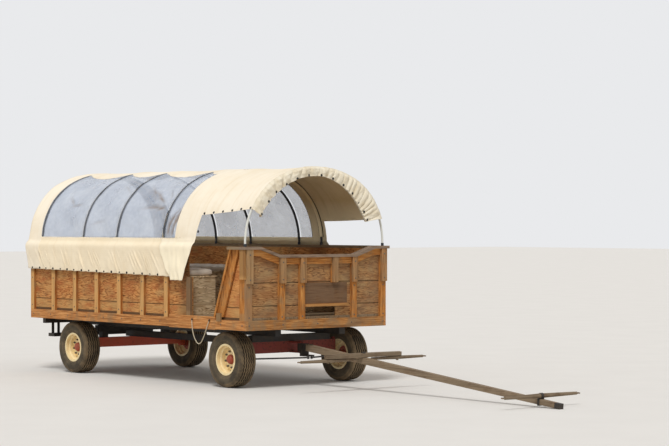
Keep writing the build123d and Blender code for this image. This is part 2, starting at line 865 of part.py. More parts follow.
head_z = (bracket_low[1] + gap, bracket_top[0] - gap)
head_d = front_axle_d - head_ahead
head = post(head_x, 0, head_half, head_z)
head += block((head_d - head_depth, head_d), (-head_half, head_half), head_z)
cheek_d = (head_d - head_depth, head_d - head_depth + cheek_depth)
head += block(cheek_d, (-cheek_half, cheek_half), (arm_z, head_z[1]))
tongue_d = (head_d - arm_x - cheek_depth, cheek_d[1])
head += block(tongue_d, (-tongue_half, tongue_half), (arm_z, arm_z + arm_t))
ear_d = (head_d - hinge_ahead - ear_past, cheek_d[0] + gap)
ear_y = (-pole_root / 2 - gap - ear_t, -pole_root / 2 - gap)
ear = block(ear_d, ear_y, (hinge_z - ear_half, hinge_z + ear_half))
head += ear + mirror(ear, about=Plane.XZ)
head -= post(head_x, 0, head_pin_r + fit, head_z)
pin_half = -ear_y[0] + pin_head_t
head += Pos(hinge_x, 0, hinge_z) * Rot(90, 0, 0) * Cylinder(hinge_pin_r, 2 * pin_half)
for side in (-1, 1):
    head += post(head_x + arm_x, side * arm_y, pin_r, pin_z)
    head += post(head_x + arm_x, side * arm_y, pin_head_r, pin_head_z)
save("steering_head", head)

# Draft gear, made along +X from the hinge and then lowered onto the ground
lower = Pos(hinge_x, 0, hinge_z) * Rot(0, math.degrees(pole_drop), 0)


def pole_half(x):
    # Half of the pole's thickness at distance x from the hinge
    return (pole_root + (pole_tip - pole_root) * x / pole_l) / 2


root_face = Plane.YZ * Rectangle(pole_root, pole_root)
wood_l = pole_l - ferrule_l
tip_w = 2 * pole_half(wood_l)
tip_face = Plane(origin=(wood_l, 0, 0), z_dir=(1, 0, 0)) * Rectangle(tip_w, tip_w)
pole = loft([root_face, tip_face])
pole += Rot(90, 0, 0) * Cylinder(pole_root / 2, pole_root)
pole -= Rot(90, 0, 0) * Cylinder(hinge_pin_r + fit, pole_root)
save("pole", lower * pole)

dt_half = pole_half(doubletree_x)
dt_z = (dt_half + gap, dt_half + gap + doubletree_t)
hardware = Pos(pole_l - ferrule_l / 2, 0, 0) * Box(ferrule_l, pole_tip, pole_tip)
washer_z = (pole_half(doubletree_x - washer_r), dt_z[0] - seat_gap)
washer = post(doubletree_x, 0, washer_r, washer_z)
bolt_head_z = (dt_z[1] + seat_gap, dt_z[1] + bolt_head_h)
bolt = post(doubletree_x, 0, bolt_r - fit, (washer_z[0] + gap / 2, bolt_head_z[0]))
bolt += post(doubletree_x, 0, bolt_head_r, bolt_head_z)

half_l = doubletree_l / 2
bar_outline = [
    (half_l, -doubletree_end),
    (half_l, doubletree_end),
    (doubletree_flat, doubletree_mid),
    (-doubletree_flat, doubletree_mid),
    (-half_l, doubletree_end),
    (-half_l, -doubletree_end),
    (-doubletree_flat, -doubletree_mid),
    (doubletree_flat, -doubletree_mid),
]
bar_face = make_face(Polyline([(doubletree_x + x, y, dt_z[0]) for y, x in bar_outline], close=True))
doubletree = extrude(bar_face, amount=doubletree_t, dir=(0, 0, 1))
doubletree -= post(doubletree_x, 0, bolt_r, dt_z)
st_z = dt_z[0] - gap - singletree_r
swivel_z = (st_z - singletree_r - pin_past, dt_z[0] + pin_past)
swivel_head_z = (swivel_z[0] - swivel_head_h, swivel_z[0])
for side in (-1, 1):
    doubletree += post(doubletree_x, side * singletree_y, singletree_bore - fit, swivel_z)
    doubletree += post(doubletree_x, side * singletree_y, swivel_head_r, swivel_head_z)
save("doubletree", lower * doubletree)


def eyed_bar(length, r_mid, r_end, bore_r):
    # Round bar along Y, thick in the middle, with a flat eye at each end
    half = length / 2
    bar = turned([(0, -half), (r_end, -half), (r_mid, -bar_flat), (r_mid, bar_flat), (r_end, half), (0, half)])
    for end in (-1, 1):
        eye_at = Pos(0, end * (half + trace_eye_out), 0)
        lug = Pos(0, end * (half + trace_eye_out - lug_l / 2 + pin_head_t), 0) * Box(lug_w, lug_l, trace_eye_t)
        lug += eye_at * Cylinder(trace_eye_r, trace_eye_t)
        bar += lug - eye_at * Cylinder(bore_r, trace_eye_t)
    return bar


for name, side in (("r", -1), ("l", 1)):
    single = eyed_bar(singletree_l, singletree_r, singletree_end, trace_bore)
    single -= Cylinder(singletree_bore, 4 * singletree_r)
    save(f"singletree_{name}", lower * Pos(doubletree_x, side * singletree_y, st_z) * single)

yoke_x = pole_l - yoke_from_tip
yoke_half = pole_half(yoke_x) + seat_gap
yoke_z = yoke_half + ring_t + yoke_r
yoke = eyed_bar(yoke_l, yoke_r, yoke_end, yoke_bore)
save("neck_yoke", lower * Pos(yoke_x, 0, yoke_z) * yoke)
ring_out = 2 * (yoke_half + ring_t)
ring_in = 2 * yoke_half
ring = Pos(yoke_x, 0, 0) * (Box(ring_w, ring_out, ring_out) - Box(ring_w, ring_in, ring_in))
band = Cylinder(yoke_r + band_t, band_w) - Cylinder(yoke_r + seat_gap, band_w)
band = Pos(yoke_x, 0, yoke_z) * Rot(90, 0, 0) * band
save("pole_hardware", [lower * hardware, lower * (washer + bolt), lower * (ring + band)])

# Rope loop that hangs on the door sill: two eyes and a limp rope between them
eye_y = -half_w - rope_out
# Columns of the rope's route: forward of the rear eye, below the eyes
route = [
    (0, 0), (1, -40), (6, -88), (18, -142), (38, -196), (66, -246), (104, -290), (150, -318),
    (198, -306), (238, -268), (272, -219), (302, -166), (330, -113), (357, -63), (rope_span, 0),
]
rope_points = [Vector(back(rope_back) + dx, eye_y, rope_top + dz) for dx, dz in route]
radii = []
for before, here, after in zip(rope_points[:-2], rope_points[1:-1], rope_points[2:]):
    turn = (here - before).get_angle(after - here)
    shorter = min((here - before).length, (after - here).length)
    radii.append(0.45 * shorter / math.tan(math.radians(turn / 2)))
print("rope radii", [round(r) for r in radii])
rope_path = FilletPolyline(*rope_points, radius=radii)
rope_start = Plane(origin=rope_points[0], z_dir=rope_points[1] - rope_points[0])
rope = sweep(rope_start * Circle(rope_r), path=rope_path)
rope_volume = math.pi * rope_r**2 * rope_path.length
print("rope length", round(rope_path.length), "volume ratio", rope.volume / rope_volume)
save("rope_loop", rope)

rope_eyes = []
for here, before in ((rope_points[0], rope_points[1]), (rope_points[-1], rope_points[-2])):
    away = (here - before).normalized()
    knob = Plane(origin=here + away * eyelet_h / 2, z_dir=away) * Cylinder(eyelet_r, eyelet_h)
    eye_d = front_x - here.X
    neck_z = (rope_top + eyelet_r / 2, rope_top + 3 * eyelet_r / 2)
    neck = block((eye_d - eyelet_r / 2, eye_d + eyelet_r / 2), (eye_y, -half_w), neck_z)
    rope_eyes.append(knob + neck)
save("rope_eyes", rope_eyes)

print("front face x", round(front_x, 2), "pole drop", math.degrees(pole_drop))
print("hinge x", hinge_x, "head x", head_x, "axle x", axle_x, "rear x", rear_x)
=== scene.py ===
# Covered wagon: canvas, clear windows, wheels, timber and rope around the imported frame
import math
from functools import partial
import bpy
import numpy as np
from mathutils import Matrix, Vector


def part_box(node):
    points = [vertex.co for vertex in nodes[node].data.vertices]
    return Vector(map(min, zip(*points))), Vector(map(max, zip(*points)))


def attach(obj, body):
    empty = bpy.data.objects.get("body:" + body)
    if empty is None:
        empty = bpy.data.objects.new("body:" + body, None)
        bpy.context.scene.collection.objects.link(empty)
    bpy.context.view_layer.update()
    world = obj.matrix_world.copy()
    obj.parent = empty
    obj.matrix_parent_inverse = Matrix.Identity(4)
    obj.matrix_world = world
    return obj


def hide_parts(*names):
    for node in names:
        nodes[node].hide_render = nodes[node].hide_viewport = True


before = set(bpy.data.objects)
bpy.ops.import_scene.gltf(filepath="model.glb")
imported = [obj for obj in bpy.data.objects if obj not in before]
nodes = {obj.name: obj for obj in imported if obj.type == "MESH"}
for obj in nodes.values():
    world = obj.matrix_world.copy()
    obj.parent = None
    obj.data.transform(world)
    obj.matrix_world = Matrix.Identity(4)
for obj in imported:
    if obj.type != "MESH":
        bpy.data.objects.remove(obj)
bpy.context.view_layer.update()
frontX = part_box("front_stakes")[1].x  # front face of the box; d below is the distance behind it
boxLong = 5.36
fullTurn = 2 * np.pi


# Colours, nodes and meshes

def linear(hexText):
    # sRGB hex to linear: the low part is a straight line, the rest a power of 2.4
    parts = [int(hexText[i:i + 2], 16) / 255 for i in (1, 3, 5)]
    return [v / 12.92 if v <= 0.04045 else ((v + 0.055) / 1.055) ** 2.4 for v in parts] + [1.0]


def addNode(tree, kind, *inputs, stops=(), out=0, **named):
    # one node: inputs in order (None leaves one alone), settings and inputs by name, a ramp's stops (place, colour)
    node = tree.nodes.new("ShaderNode" + kind)
    for key in [key for key in named if key not in node.inputs]:
        setattr(node, key, named.pop(key))
    for key, value in [*enumerate(inputs), *named.items()]:
        if isinstance(value, bpy.types.NodeSocket):
            tree.links.new(value, node.inputs[key])
        elif value is not None:
            node.inputs[key].default_value = value
    elements = node.color_ramp.elements if stops else []
    while len(elements) < len(stops):
        elements.new(0.5)
    for element, (place, colour) in zip(elements, stops):
        element.position, element.color = place, linear(colour)
    return node.outputs[out] if node.outputs else node


def layTint(add, colour, tint, mask, low=None, high=None, most=1.0, least=0.0):
    # lays the tint over the colour by the mask, or by least where the mask is at low up to most where it is at high
    share = mask if low is None else add("MapRange", mask, low, high, least, most)
    return add("Mix", share, *[None] * 5, colour, linear(tint), data_type="RGBA", out=2)


def tintAlong(add, place, colour, axis, start, end, most, tint):
    # tints the colour where the coordinate passes from start to end
    return layTint(add, colour, tint, add("SeparateXYZ", place, out=axis), start, end, most)


def tintNear(add, place, colour, axis, middle, inner, outer, most, tint):
    # tints the colour near one coordinate, fully up to inner and fading out to outer
    away = add("Math", add("SeparateXYZ", place, out=axis), middle, operation="SUBTRACT")
    away = add("Math", away, operation="ABSOLUTE")
    return layTint(add, colour, tint, away, inner, outer, 0.0, most)


def drawnNoise(add, place, scale, **look):
    # noise drawn out by a scale for each axis
    return add("TexNoise", Vector=add("Mapping", Vector=place, Scale=scale), Scale=1.0, **look)


def makeFinish(base, **changes):
    # a Principled material from its settings; its recipe returns colour, height, relief's strength and mm, and more
    s = {**base, **changes}
    material = bpy.data.materials.new(s["name"])
    material.use_nodes = True
    tree = material.node_tree
    tree.nodes.clear()
    add = partial(addNode, tree)
    colour, height, strength, reliefMm, more = s["recipe"](add, add("TexCoord", out=s.get("coords", "Object")), s)
    relief = add("Bump", Strength=strength, Distance=reliefMm / 1000, Height=height) if height else None
    add("OutputMaterial", Surface=add("BsdfPrincipled", **{"Base Color": colour, "Normal": relief,
                                                           "Roughness": s["roughness"], **more}))
    return material


def makeMesh(name, verts, faces, looks, faceUv=None, smooth=True):
    # an object at the origin from points, faces, finishes and a uv at each face's corners
    mesh = bpy.data.meshes.new(name)
    mesh.from_pydata(np.asarray(verts, float).reshape(-1, 3).tolist(), [],
                     faces if isinstance(faces, list) else faces.tolist())
    for look in looks:
        mesh.materials.append(finish[look])
    if faceUv is not None:
        layer = mesh.uv_layers.new(name="metres")
        layer.data.foreach_set("uv", np.asarray(faceUv, np.float32).ravel())
    mesh.polygons.foreach_set("use_smooth", np.full(len(mesh.polygons), smooth))
    mesh.update()
    piece = bpy.data.objects.new(name, mesh)
    bpy.context.scene.collection.objects.link(piece)
    return piece


def mount(piece, node=None, body="wagon"):
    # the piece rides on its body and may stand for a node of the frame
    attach(piece, body)
    if node:
        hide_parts(node)
    return piece


def gridFaces(rows, columns, closeRows=False, closeColumns=False, flip=False):
    # quads between neighbours of a rows x columns grid
    index = np.arange(rows * columns).reshape(rows, columns)
    if closeRows:
        index = np.vstack([index, index[:1]])
    if closeColumns:
        index = np.hstack([index, index[:, :1]])
    around = [index[:-1, :-1], index[1:, :-1], index[1:, 1:], index[:-1, 1:]]
    return np.stack(around[::-1] if flip else around, axis=-1).reshape(-1, 4)


def plainUv(points):
    # uv from 0 to 1 along both ways of the grid
    rows, columns = points.shape[:2]
    return stacked(np.linspace(0, 1, rows)[:, None], np.linspace(0, 1, columns))


def joinGrids(name, grids, looks, uvs=None, closeRows=False, closeColumns=False, flip=False):
    # grids of points, all closed the same way, as one mesh; uv runs from 0 to 1 both ways where none is given
    faces, corners, start = [], [], 0
    for points, uv in zip(grids, uvs or map(plainUv, grids)):
        quads = gridFaces(*points.shape[:2], closeRows, closeColumns, flip)
        faces.append(quads + start)
        corners.append(uv.reshape(-1, 2)[quads])
        start += points.shape[0] * points.shape[1]
    verts = np.vstack([points.reshape(-1, 3) for points in grids])
    return makeMesh(name, verts, np.vstack(faces), looks, np.vstack(corners))


def stacked(*parts):
    # the parts side by side as a last axis, each spread over the whole grid
    return np.stack(np.broadcast_arrays(*parts), axis=-1)


def unitRows(vectors):
    # each row divided by its length
    return vectors / np.linalg.norm(vectors, axis=1)[:, None]


def ringTurns(count):
    # that many angles, evenly spaced round a circle
    return np.linspace(0, fullTurn, count, endpoint=False)


def pathFrames(path, up):
    # side and up at each point of a path: cross products with its direction
    tangent = unitRows(np.gradient(path, axis=0))
    side = unitRows(np.cross(np.broadcast_to(up, path.shape), tangent))
    return side, np.cross(tangent, side)


def tubeGrid(path, radius, sides, up):
    # a ring of the given radius carried along the path
    side, high = pathFrames(path, np.asarray(up, float))
    turn = ringTurns(sides)
    ring = np.cos(turn)[None, :, None] * side[:, None] + np.sin(turn)[None, :, None] * high[:, None]
    return path[:, None] + ring * radius


def turnGrid(profile, segments):
    # profile of (radius, s) turned about the Y axis, s along Y
    turn = ringTurns(segments)[:, None]
    radius, along = np.asarray(profile, float).T
    return stacked(radius * np.cos(turn), along, radius * np.sin(turn))


def stampCopies(name, profile, segments, centres, normals, look, smooth=True):
    # a small turned shape at each centre, its axis along the normal there, or along one normal for all
    base = turnGrid(profile, segments)
    quads = gridFaces(*base.shape[:2], closeRows=True)
    axis = unitRows(np.broadcast_to(np.asarray(normals, float), np.shape(centres)))
    helper = np.where(np.abs(axis[:, 2:3]) > 0.9, [[1.0, 0, 0]], [[0, 0, 1.0]])
    first = unitRows(np.cross(helper, axis))
    second = np.cross(axis, first)
    flat = base.reshape(-1, 3)
    spots = (flat[None, :, 0:1] * first[:, None] + flat[None, :, 1:2] * axis[:, None]
             + flat[None, :, 2:3] * second[:, None] + np.asarray(centres, float)[:, None])
    faces = quads[None] + (np.arange(len(axis)) * len(flat))[:, None, None]
    return makeMesh(name, spots, faces.reshape(-1, 4), [look], smooth=smooth)


def softNoise(u, v, size, seed, waves=14):
    # sum of plane waves with random directions, about one swell for each size
    pick = np.random.default_rng(seed)
    angle = pick.uniform(0, fullTurn, waves)
    pace = fullTurn / size * pick.uniform(0.6, 1.7, waves)
    phase = pick.uniform(0, fullTurn, waves)
    total = np.zeros(np.broadcast(u, v).shape)
    for a, k, p in zip(angle, pace, phase):
        total += np.sin(k * (u * np.cos(a) + v * np.sin(a)) + p)
    return total / math.sqrt(waves)


def swells(u, v, table):
    # swells laid over one another, each from its height, size and seed
    return sum(high * softNoise(u, v, size, seed) for high, size, seed in table)


def easeStep(v, low, high):
    # 0 below low, 1 above high, smooth between
    share = np.clip((v - low) / (high - low), 0, 1)
    return share * share * (3 - 2 * share)


def bell(v, middle, wide):
    # a bell: 1 at the middle, falling with the square of the distance in units of its width
    return np.exp(-((v - middle) / wide) ** 2)


def addSolid(piece, thickness, offset=-1.0, inside=0):
    # gives a sheet its thickness, and its inner face the finish in that place
    solid = piece.modifiers.new("thickness", "SOLIDIFY")
    solid.thickness, solid.offset, solid.material_offset = thickness, offset, inside


def addValues(piece, name, values):
    # a value for each point, which the finish reads by this name
    layer = piece.data.attributes.new(name, "FLOAT", "POINT")
    layer.data.foreach_set("value", np.asarray(values, np.float32).ravel())


# Finishes: each recipe returns the colour, what the relief follows with its strength and mm, and further inputs

def sawnTimber(add, place, s):
    # softwood, sawn and oiled, gone grey in places: long grain, matt, dark checks
    scale = [1000 / s["runMm" if axis == s["along"] else "grainMm"] for axis in "XYZ"]
    grain = drawnNoise(add, place, scale, Detail=7.0, Roughness=0.62, Distortion=0.5)
    colour = add("ValToRGB", grain, stops=[(0.30, s["dark"]), (0.50, s["mid"]), (0.70, s["light"])])
    patch = add("TexNoise", Vector=place, Scale=1000 / s["patchMm"], Detail=5.0, Roughness=0.65)
    low = 0.62 - 0.35 * s["greyShare"]
    colour = layTint(add, colour, s["grey"], patch, low, low + 0.16, s["greyMost"])
    for tint in s["tints"]:
        colour = tintAlong(add, place, colour, *tint)
    streak = drawnNoise(add, place, [v * 0.28 for v in scale], Detail=3.0)
    colour = layTint(add, colour, s["dark"], streak, 0.52, 0.68, 0.45)
    return colour, grain, 0.45, s["reliefMm"], {"Specular IOR Level": 0.2}


def rotaryPly(add, place, s):
    # rotary-cut plywood: contour lines of a long soft swell make its flame figure, and the weather has raised it
    swellScale, fibreScale = [[1000 / s[run], 1000 / s[run], 1000 / s[across]]
                              for run, across in (("swellRunMm", "swellMm"), ("fibreRunMm", "fibreMm"))]
    swell = drawnNoise(add, place, swellScale, Detail=3.0, Roughness=0.45, Distortion=0.6)
    turns = add("Math", swell, s["rings"], operation="MULTIPLY")
    turns = add("Math", turns, 0.5, operation="PINGPONG")
    ring = add("MapRange", turns, 0.0, 0.26, 0.0, s["ringMost"])
    fibre = drawnNoise(add, place, fibreScale, Detail=5.0, Roughness=0.62, Distortion=0.5)
    figure = add("Math", fibre, ring, operation="ADD")
    colour = add("ValToRGB", figure, stops=[(0.42, s["dark"]), (0.66, s["mid"]), (0.88, s["light"])])
    patch = add("TexNoise", Vector=place, Scale=1000 / s["patchMm"], Detail=4.0, Roughness=0.6)
    colour = layTint(add, colour, s["grey"], patch, 0.40, 0.62, s["greyMost"])
    for tint in s["tints"]:
        colour = tintAlong(add, place, colour, *tint)
    blush = drawnNoise(add, place, [3.2, 3.2, 9.0], Detail=3.0, Roughness=0.6)
    colour = layTint(add, colour, s["blush"], blush, 0.52, 0.66, 0.5)
    colour = layTint(add, colour, s["bleach"], blush, 0.46, 0.34, 0.5)
    seams = [(2, seam, 0.003, 0.009, 0.85, "#2a1d12") for seam in s["seams"]]  # dark joints between boards
    for stain in (*s["stains"], *seams):
        colour = tintNear(add, place, colour, *stain)
    return colour, figure, 0.6, s["reliefMm"], {"Specular IOR Level": 0.2}


def paintedSteel(add, place, s):
    # brushed-on enamel over steel: low gloss, chips to rust, road dust in the low places
    chip = add("TexNoise", Vector=place, Scale=1000 / s["chipMm"], Detail=6.0, Roughness=0.7)
    dust = add("TexNoise", Vector=place, Scale=1000 / s["dustMm"], Detail=4.0, Roughness=0.6)
    colour = layTint(add, linear(s["paint"]), s["dust"], dust, 0.38, 0.72, s["dustMost"])
    colour = layTint(add, colour, s["rust"], chip, s["chipFrom"], s["chipFrom"] + 0.05, s["rustMost"])
    rough = add("MapRange", dust, 0.3, 0.7, s["roughness"] - 0.1, s["roughness"] + 0.2)
    return colour, chip, 0.25, 0.6, {"Roughness": rough, "Metallic": s["metallic"]}


def wovenCanvas(add, place, s):
    # proofed cotton duck: plain weave, matt with a faint sheen, water marks; UV is in metres on the cloth
    cloud = add("TexNoise", Vector=place, Scale=1000 / s["stainMm"], Detail=5.0, Roughness=0.6)
    colour = layTint(add, linear(s["cloth"]), s["stain"], cloud, 0.42, 0.75, s["stainMost"])
    run = drawnNoise(add, place, [1000 / 90, 1000 / 900, 1], Detail=4.0)
    colour = layTint(add, colour, s["stain"], run, 0.52, 0.75, s["stainMost"])
    if "pale" in s:
        # the lower parts are painted paler, as painted light: inside, where light comes in under the cover, and
        # outside, on the door flap
        length = add("Math", add("SeparateXYZ", place, out=1), operation="ABSOLUTE")
        colour = layTint(add, colour, s["pale"], length, *s["paleFrom"])
    # threads are 0.6 mm apart; they are drawn 4 mm apart so that the weave can show at all
    warp, weft = [add("TexWave", Vector=place, Scale=1000 / s["threadMm"] / 20, Distortion=0.3, out=1,
                          bands_direction=direction) for direction in "XY"]
    weave = add("Math", warp, weft, operation="ADD")
    wrinkle = add("TexNoise", Vector=place, Scale=1000 / 120, Detail=5.0, Roughness=0.55)
    wrinkle = add("Math", wrinkle, 9.0, operation="MULTIPLY")
    height = add("Math", weave, wrinkle, operation="ADD")
    return colour, height, 0.35, 0.9, {"Specular IOR Level": 0.2, "Sheen Weight": 0.1, "Sheen Roughness": 0.6}


def clearVinyl(add, place, s):
    # pressed clear PVC sheet, milky from sun: attribute haze gives its cover, fold a painted brown shade in the
    # hollows of its creases
    cloud = add("TexNoise", Vector=place, Scale=1000 / 420, Detail=4.0, Roughness=0.6)
    colour = add("ValToRGB", cloud, stops=[(0.3, "#c2cddf"), (0.55, "#d0d9e8"), (0.8, "#dce3ed")])
    fold = add("Attribute", attribute_name="fold", out="Fac")
    # the creases' hollows are painted brown-grey and less clear: painted shade
    colour = layTint(add, colour, "#94867c", fold)
    haze = add("Attribute", attribute_name="haze", out="Fac")
    spread = add("MapRange", cloud, 0.3, 0.75, 0.8, 1.2)
    alpha = add("Math", haze, spread, operation="MULTIPLY")
    more = add("Math", fold, 0.45, operation="MULTIPLY")
    alpha = add("Math", alpha, more, operation="ADD")
    ripple = add("TexNoise", Vector=place, Scale=1000 / 160, Detail=3.0, Distortion=1.2)
    return colour, ripple, 0.35, 4.0, {"Alpha": alpha}


def tyreRubber(add, place, s):
    # vulcanised rubber, matt and weathered: pale dust on the ribs and walls, and painted shade that blackens the
    # grooves
    fine = add("TexNoise", Vector=place, Scale=1000 / 9, Detail=5.0, Roughness=0.7)
    cloud = add("TexNoise", Vector=place, Scale=1000 / 130, Detail=5.0)
    share = add("MapRange", cloud, 0.35, 0.70, 0.15, 0.85)
    colour = layTint(add, linear("#38322a"), "#655b4a", share)
    rubbed = add("Attribute", attribute_name="rubbed", out="Fac")
    colour = layTint(add, colour, "#8a7355", add("Math", rubbed, share, operation="MULTIPLY"))
    colour = layTint(add, colour, "#8a7a60", fine, 0.52, 0.68, 0.4)
    # painted shade: the grooves are painted near black
    colour = layTint(add, colour, "#17130f", add("Attribute", attribute_name="hollow", out="Fac"))
    return colour, fine, 0.3, 0.8, {"Specular IOR Level": 0.25}


def twistedRope(add, place, s):
    # three-strand natural fibre rope, pale and fuzzy, darker between its strands
    fibre = add("TexNoise", Vector=place, Scale=1000 / 2.5, Detail=4.0)
    colour = add("ValToRGB", fibre, stops=[(0.3, "#a2937a"), (0.55, "#d3c7ad"), (0.8, "#e8dfca")])
    return colour, fibre, 0.5, 0.7, {}


def paddedVinyl(add, place, s):
    # embossed seat vinyl, pale grey, with a leather grain of about 2 mm, drawn at 4 mm
    cell = add("TexVoronoi", Vector=place, Scale=1000 / 4)
    cloud = add("TexNoise", Vector=place, Scale=1000 / 150, Detail=5.0)
    colour = add("ValToRGB", cloud, stops=[(0.3, "#d3c6b7"), (0.55, "#e6d9c8"), (0.8, "#f0e6d9")])
    return colour, cell, 0.3, 0.5, {}


def plasterFloor(add, place, s):
    # a pale trowelled floor with faint clouds
    cloud = add("TexNoise", Vector=place, Scale=1.2, Detail=3.0)
    return layTint(add, linear("#dcd9d4"), "#e3e0db", cloud), None, 0.0, 0.0, {}


orangeWood = {"recipe": sawnTimber, "name": "oiled orange timber", "along": "Z", "dark": "#6a3a16",
              "mid": "#b57436", "light": "#d69f5c", "grey": "#8a7354", "greyShare": 0.35, "greyMost": 0.6,
              "grainMm": 11, "runMm": 280, "patchMm": 240, "roughness": 0.78, "reliefMm": 1.4, "tints": ()}
greyWood = dict(orangeWood, name="weathered grey timber", dark="#4a3925", mid="#83694a", light="#a68b66",
                grey="#8f7f69", greyShare=0.8, greyMost=0.6)
ply = {"recipe": rotaryPly, "name": "oiled rotary plywood", "dark": "#4a260f", "mid": "#b2723c",
       "light": "#dda263", "grey": "#846745", "greyMost": 0.4, "blush": "#a4552a", "bleach": "#c39a63",
       "swellMm": 80, "swellRunMm": 560, "rings": 11, "ringMost": 0.27, "fibreMm": 9, "fibreRunMm": 130,
       "patchMm": 380, "roughness": 0.8, "reliefMm": 1.8, "seams": (), "tints": (), "stains": ()}
duck = {"recipe": wovenCanvas, "name": "cream cotton duck", "coords": "UV", "roughness": 0.85, "cloth": "#f8edd8",
        "stain": "#e6d1ac", "stainMm": 700, "stainMost": 0.45, "threadMm": 4}
finish = {
    # the stakes' outer faces are painted paler as painted light, and their darker base colour gives the sides painted
    # shade
    "stakes": makeFinish(orangeWood, mid="#a9682f", tints=((1, -1.2185, -1.2195, 0.62, "#dcb072"),
                                                           (1, 1.2185, 1.2195, 0.62, "#dcb072"),
                                                           # painted shadow of the canvas skirt on the stakes above
                                                           # its hem
                                                           (2, 1.45, 1.53, 0.5, "#5a3517"))),
    "frontStakes": makeFinish(orangeWood, name="oiled orange timber, grey at the corner",
                              tints=((1, -1.0, -1.06, 0.7, "#947657"),)),
    "doorPosts": makeFinish(orangeWood, name="oiled door timber, weathered at the opening",
                            tints=((0, frontX - 0.4, frontX - 0.5, 0.85, "#6f5c46"),
                                   (2, 1.03, 1.00, 0.5, "#9a7c56"))),
    "diagonals": makeFinish(orangeWood, name="oiled orange braces", light="#e0a45c",
                            # faces set back from the outer face are painted darker: painted shade in the recess
                            # between the boards
                            tints=((1, -1.206, -1.196, 0.55, "#7a4a22"),)),
    "sills": makeFinish(orangeWood, name="oiled orange timber along X", along="X", mid="#c0824a", light="#dea76b"),
    "frontRails": makeFinish(orangeWood, name="oiled orange timber along Y", along="Y"),
    "endSills": makeFinish(orangeWood, name="worn end sills", along="Y", dark="#5e381b", mid="#a8713c",
                           light="#cf9d63", grey="#8c7355", greyShare=0.6, greyMost=0.75),
    "cleats": makeFinish(orangeWood, name="weathered cleats", dark="#5a3d20", mid="#a6764a", light="#c79a65",
                         grey="#967a58", greyShare=0.6, tints=((1, -1.0, -1.06, 0.5, "#a18763"),)),
    "capBoard": makeFinish(greyWood, name="grey cap board", along="Y", dark="#463a30", mid="#836b57",
                           light="#a68f78", grey="#8f7c6b"),
    "greyAcross": makeFinish(greyWood, name="weathered grey timber along Y", along="Y"),
    "greyAlong": makeFinish(greyWood, name="weathered grey timber along X", along="X"),
    # the plank ends that stand out past the walls are painted dark brown as painted shade
    "deckPlanks": makeFinish(greyWood, name="worn deck planks", along="X",
                             tints=((1, -1.165, -1.175, 0.8, "#5c3f24"), (1, 1.165, 1.175, 0.8, "#5c3f24"))),
    "patchBoard": makeFinish(greyWood, name="weathered patch board", along="Y", dark="#4c3420", mid="#6f5138",
                             light="#8a6b4c", grey="#735b46", grainMm=14,
                             tints=((2, 1.128, 1.118, 0.8, "#c08a4e"),)),
    "poleWood": makeFinish(greyWood, name="bare weathered ash", along="X", dark="#4a3a2b", mid="#7d6852",
                           light="#9c8870", grainMm=6),
    "crossWood": makeFinish(greyWood, name="bare weathered ash along Y", along="Y", dark="#3f3226",
                            mid="#6d5a47", light="#8d7a64", grainMm=6),
    "sidePly": makeFinish(ply, seams=(1.09,), stains=((0, frontX - 1.40, 0.06, 0.26, 0.45, "#553c27"),),
                          tints=((0, frontX - 0.75, frontX - 0.6, 0.35, "#dc9a5a"),
                                 (2, 1.13, 1.05, 0.35, "#c29a62"))),
    # the front wall's plywood is a darker copy of the side plywood: its greyer patches are weather, its darker tone
    # is painted shade
    "frontPly": makeFinish(ply, name="weathered rotary plywood", dark="#46290f", mid="#966a43", light="#bb8f5c",
                           grey="#7d6850", greyMost=0.55, blush="#8a5a35", bleach="#a98c62", seams=(1.418, 1.11)),
    "benchPly": makeFinish(ply, name="grey rotary plywood", dark="#4f3a25", mid="#bd9d76", light="#efd8b2",
                           grey="#a8957a", greyMost=0.35, blush="#a5835c", bleach="#dcc39b"),
    "canvas": makeFinish(duck),
    # the hood's lower part, the door flap, is painted paler as painted light
    "canvasHood": makeFinish(duck, name="cream duck hood", pale="#fff3d6", paleFrom=(1.70, 1.95)),
    "canvasSkirt": makeFinish(duck, name="cream duck skirt", cloth="#f7e8cb"),
    # the ruffle is a greyer copy of the duck: painted shade of its folds, with its own stains
    "canvasRuffle": makeFinish(duck, name="cream duck ruffle", cloth="#ece3ce", stain="#c9b58f", stainMm=160,
                               stainMost=0.6),
    # the inside is a darker brown copy of the duck as painted shade, painted paler towards its foot as painted light
    "canvasInside": makeFinish(duck, name="cream duck inside", cloth="#c9ae82", stain="#a98d5f", stainMm=500,
                               stainMost=0.5, pale="#fbeecb", paleFrom=(1.15, 1.62)),
}
paintColumns = ("name", "paint", "dust", "rust", "roughness", "metallic", "chipMm", "chipFrom", "rustMost", "dustMm",
                "dustMost")
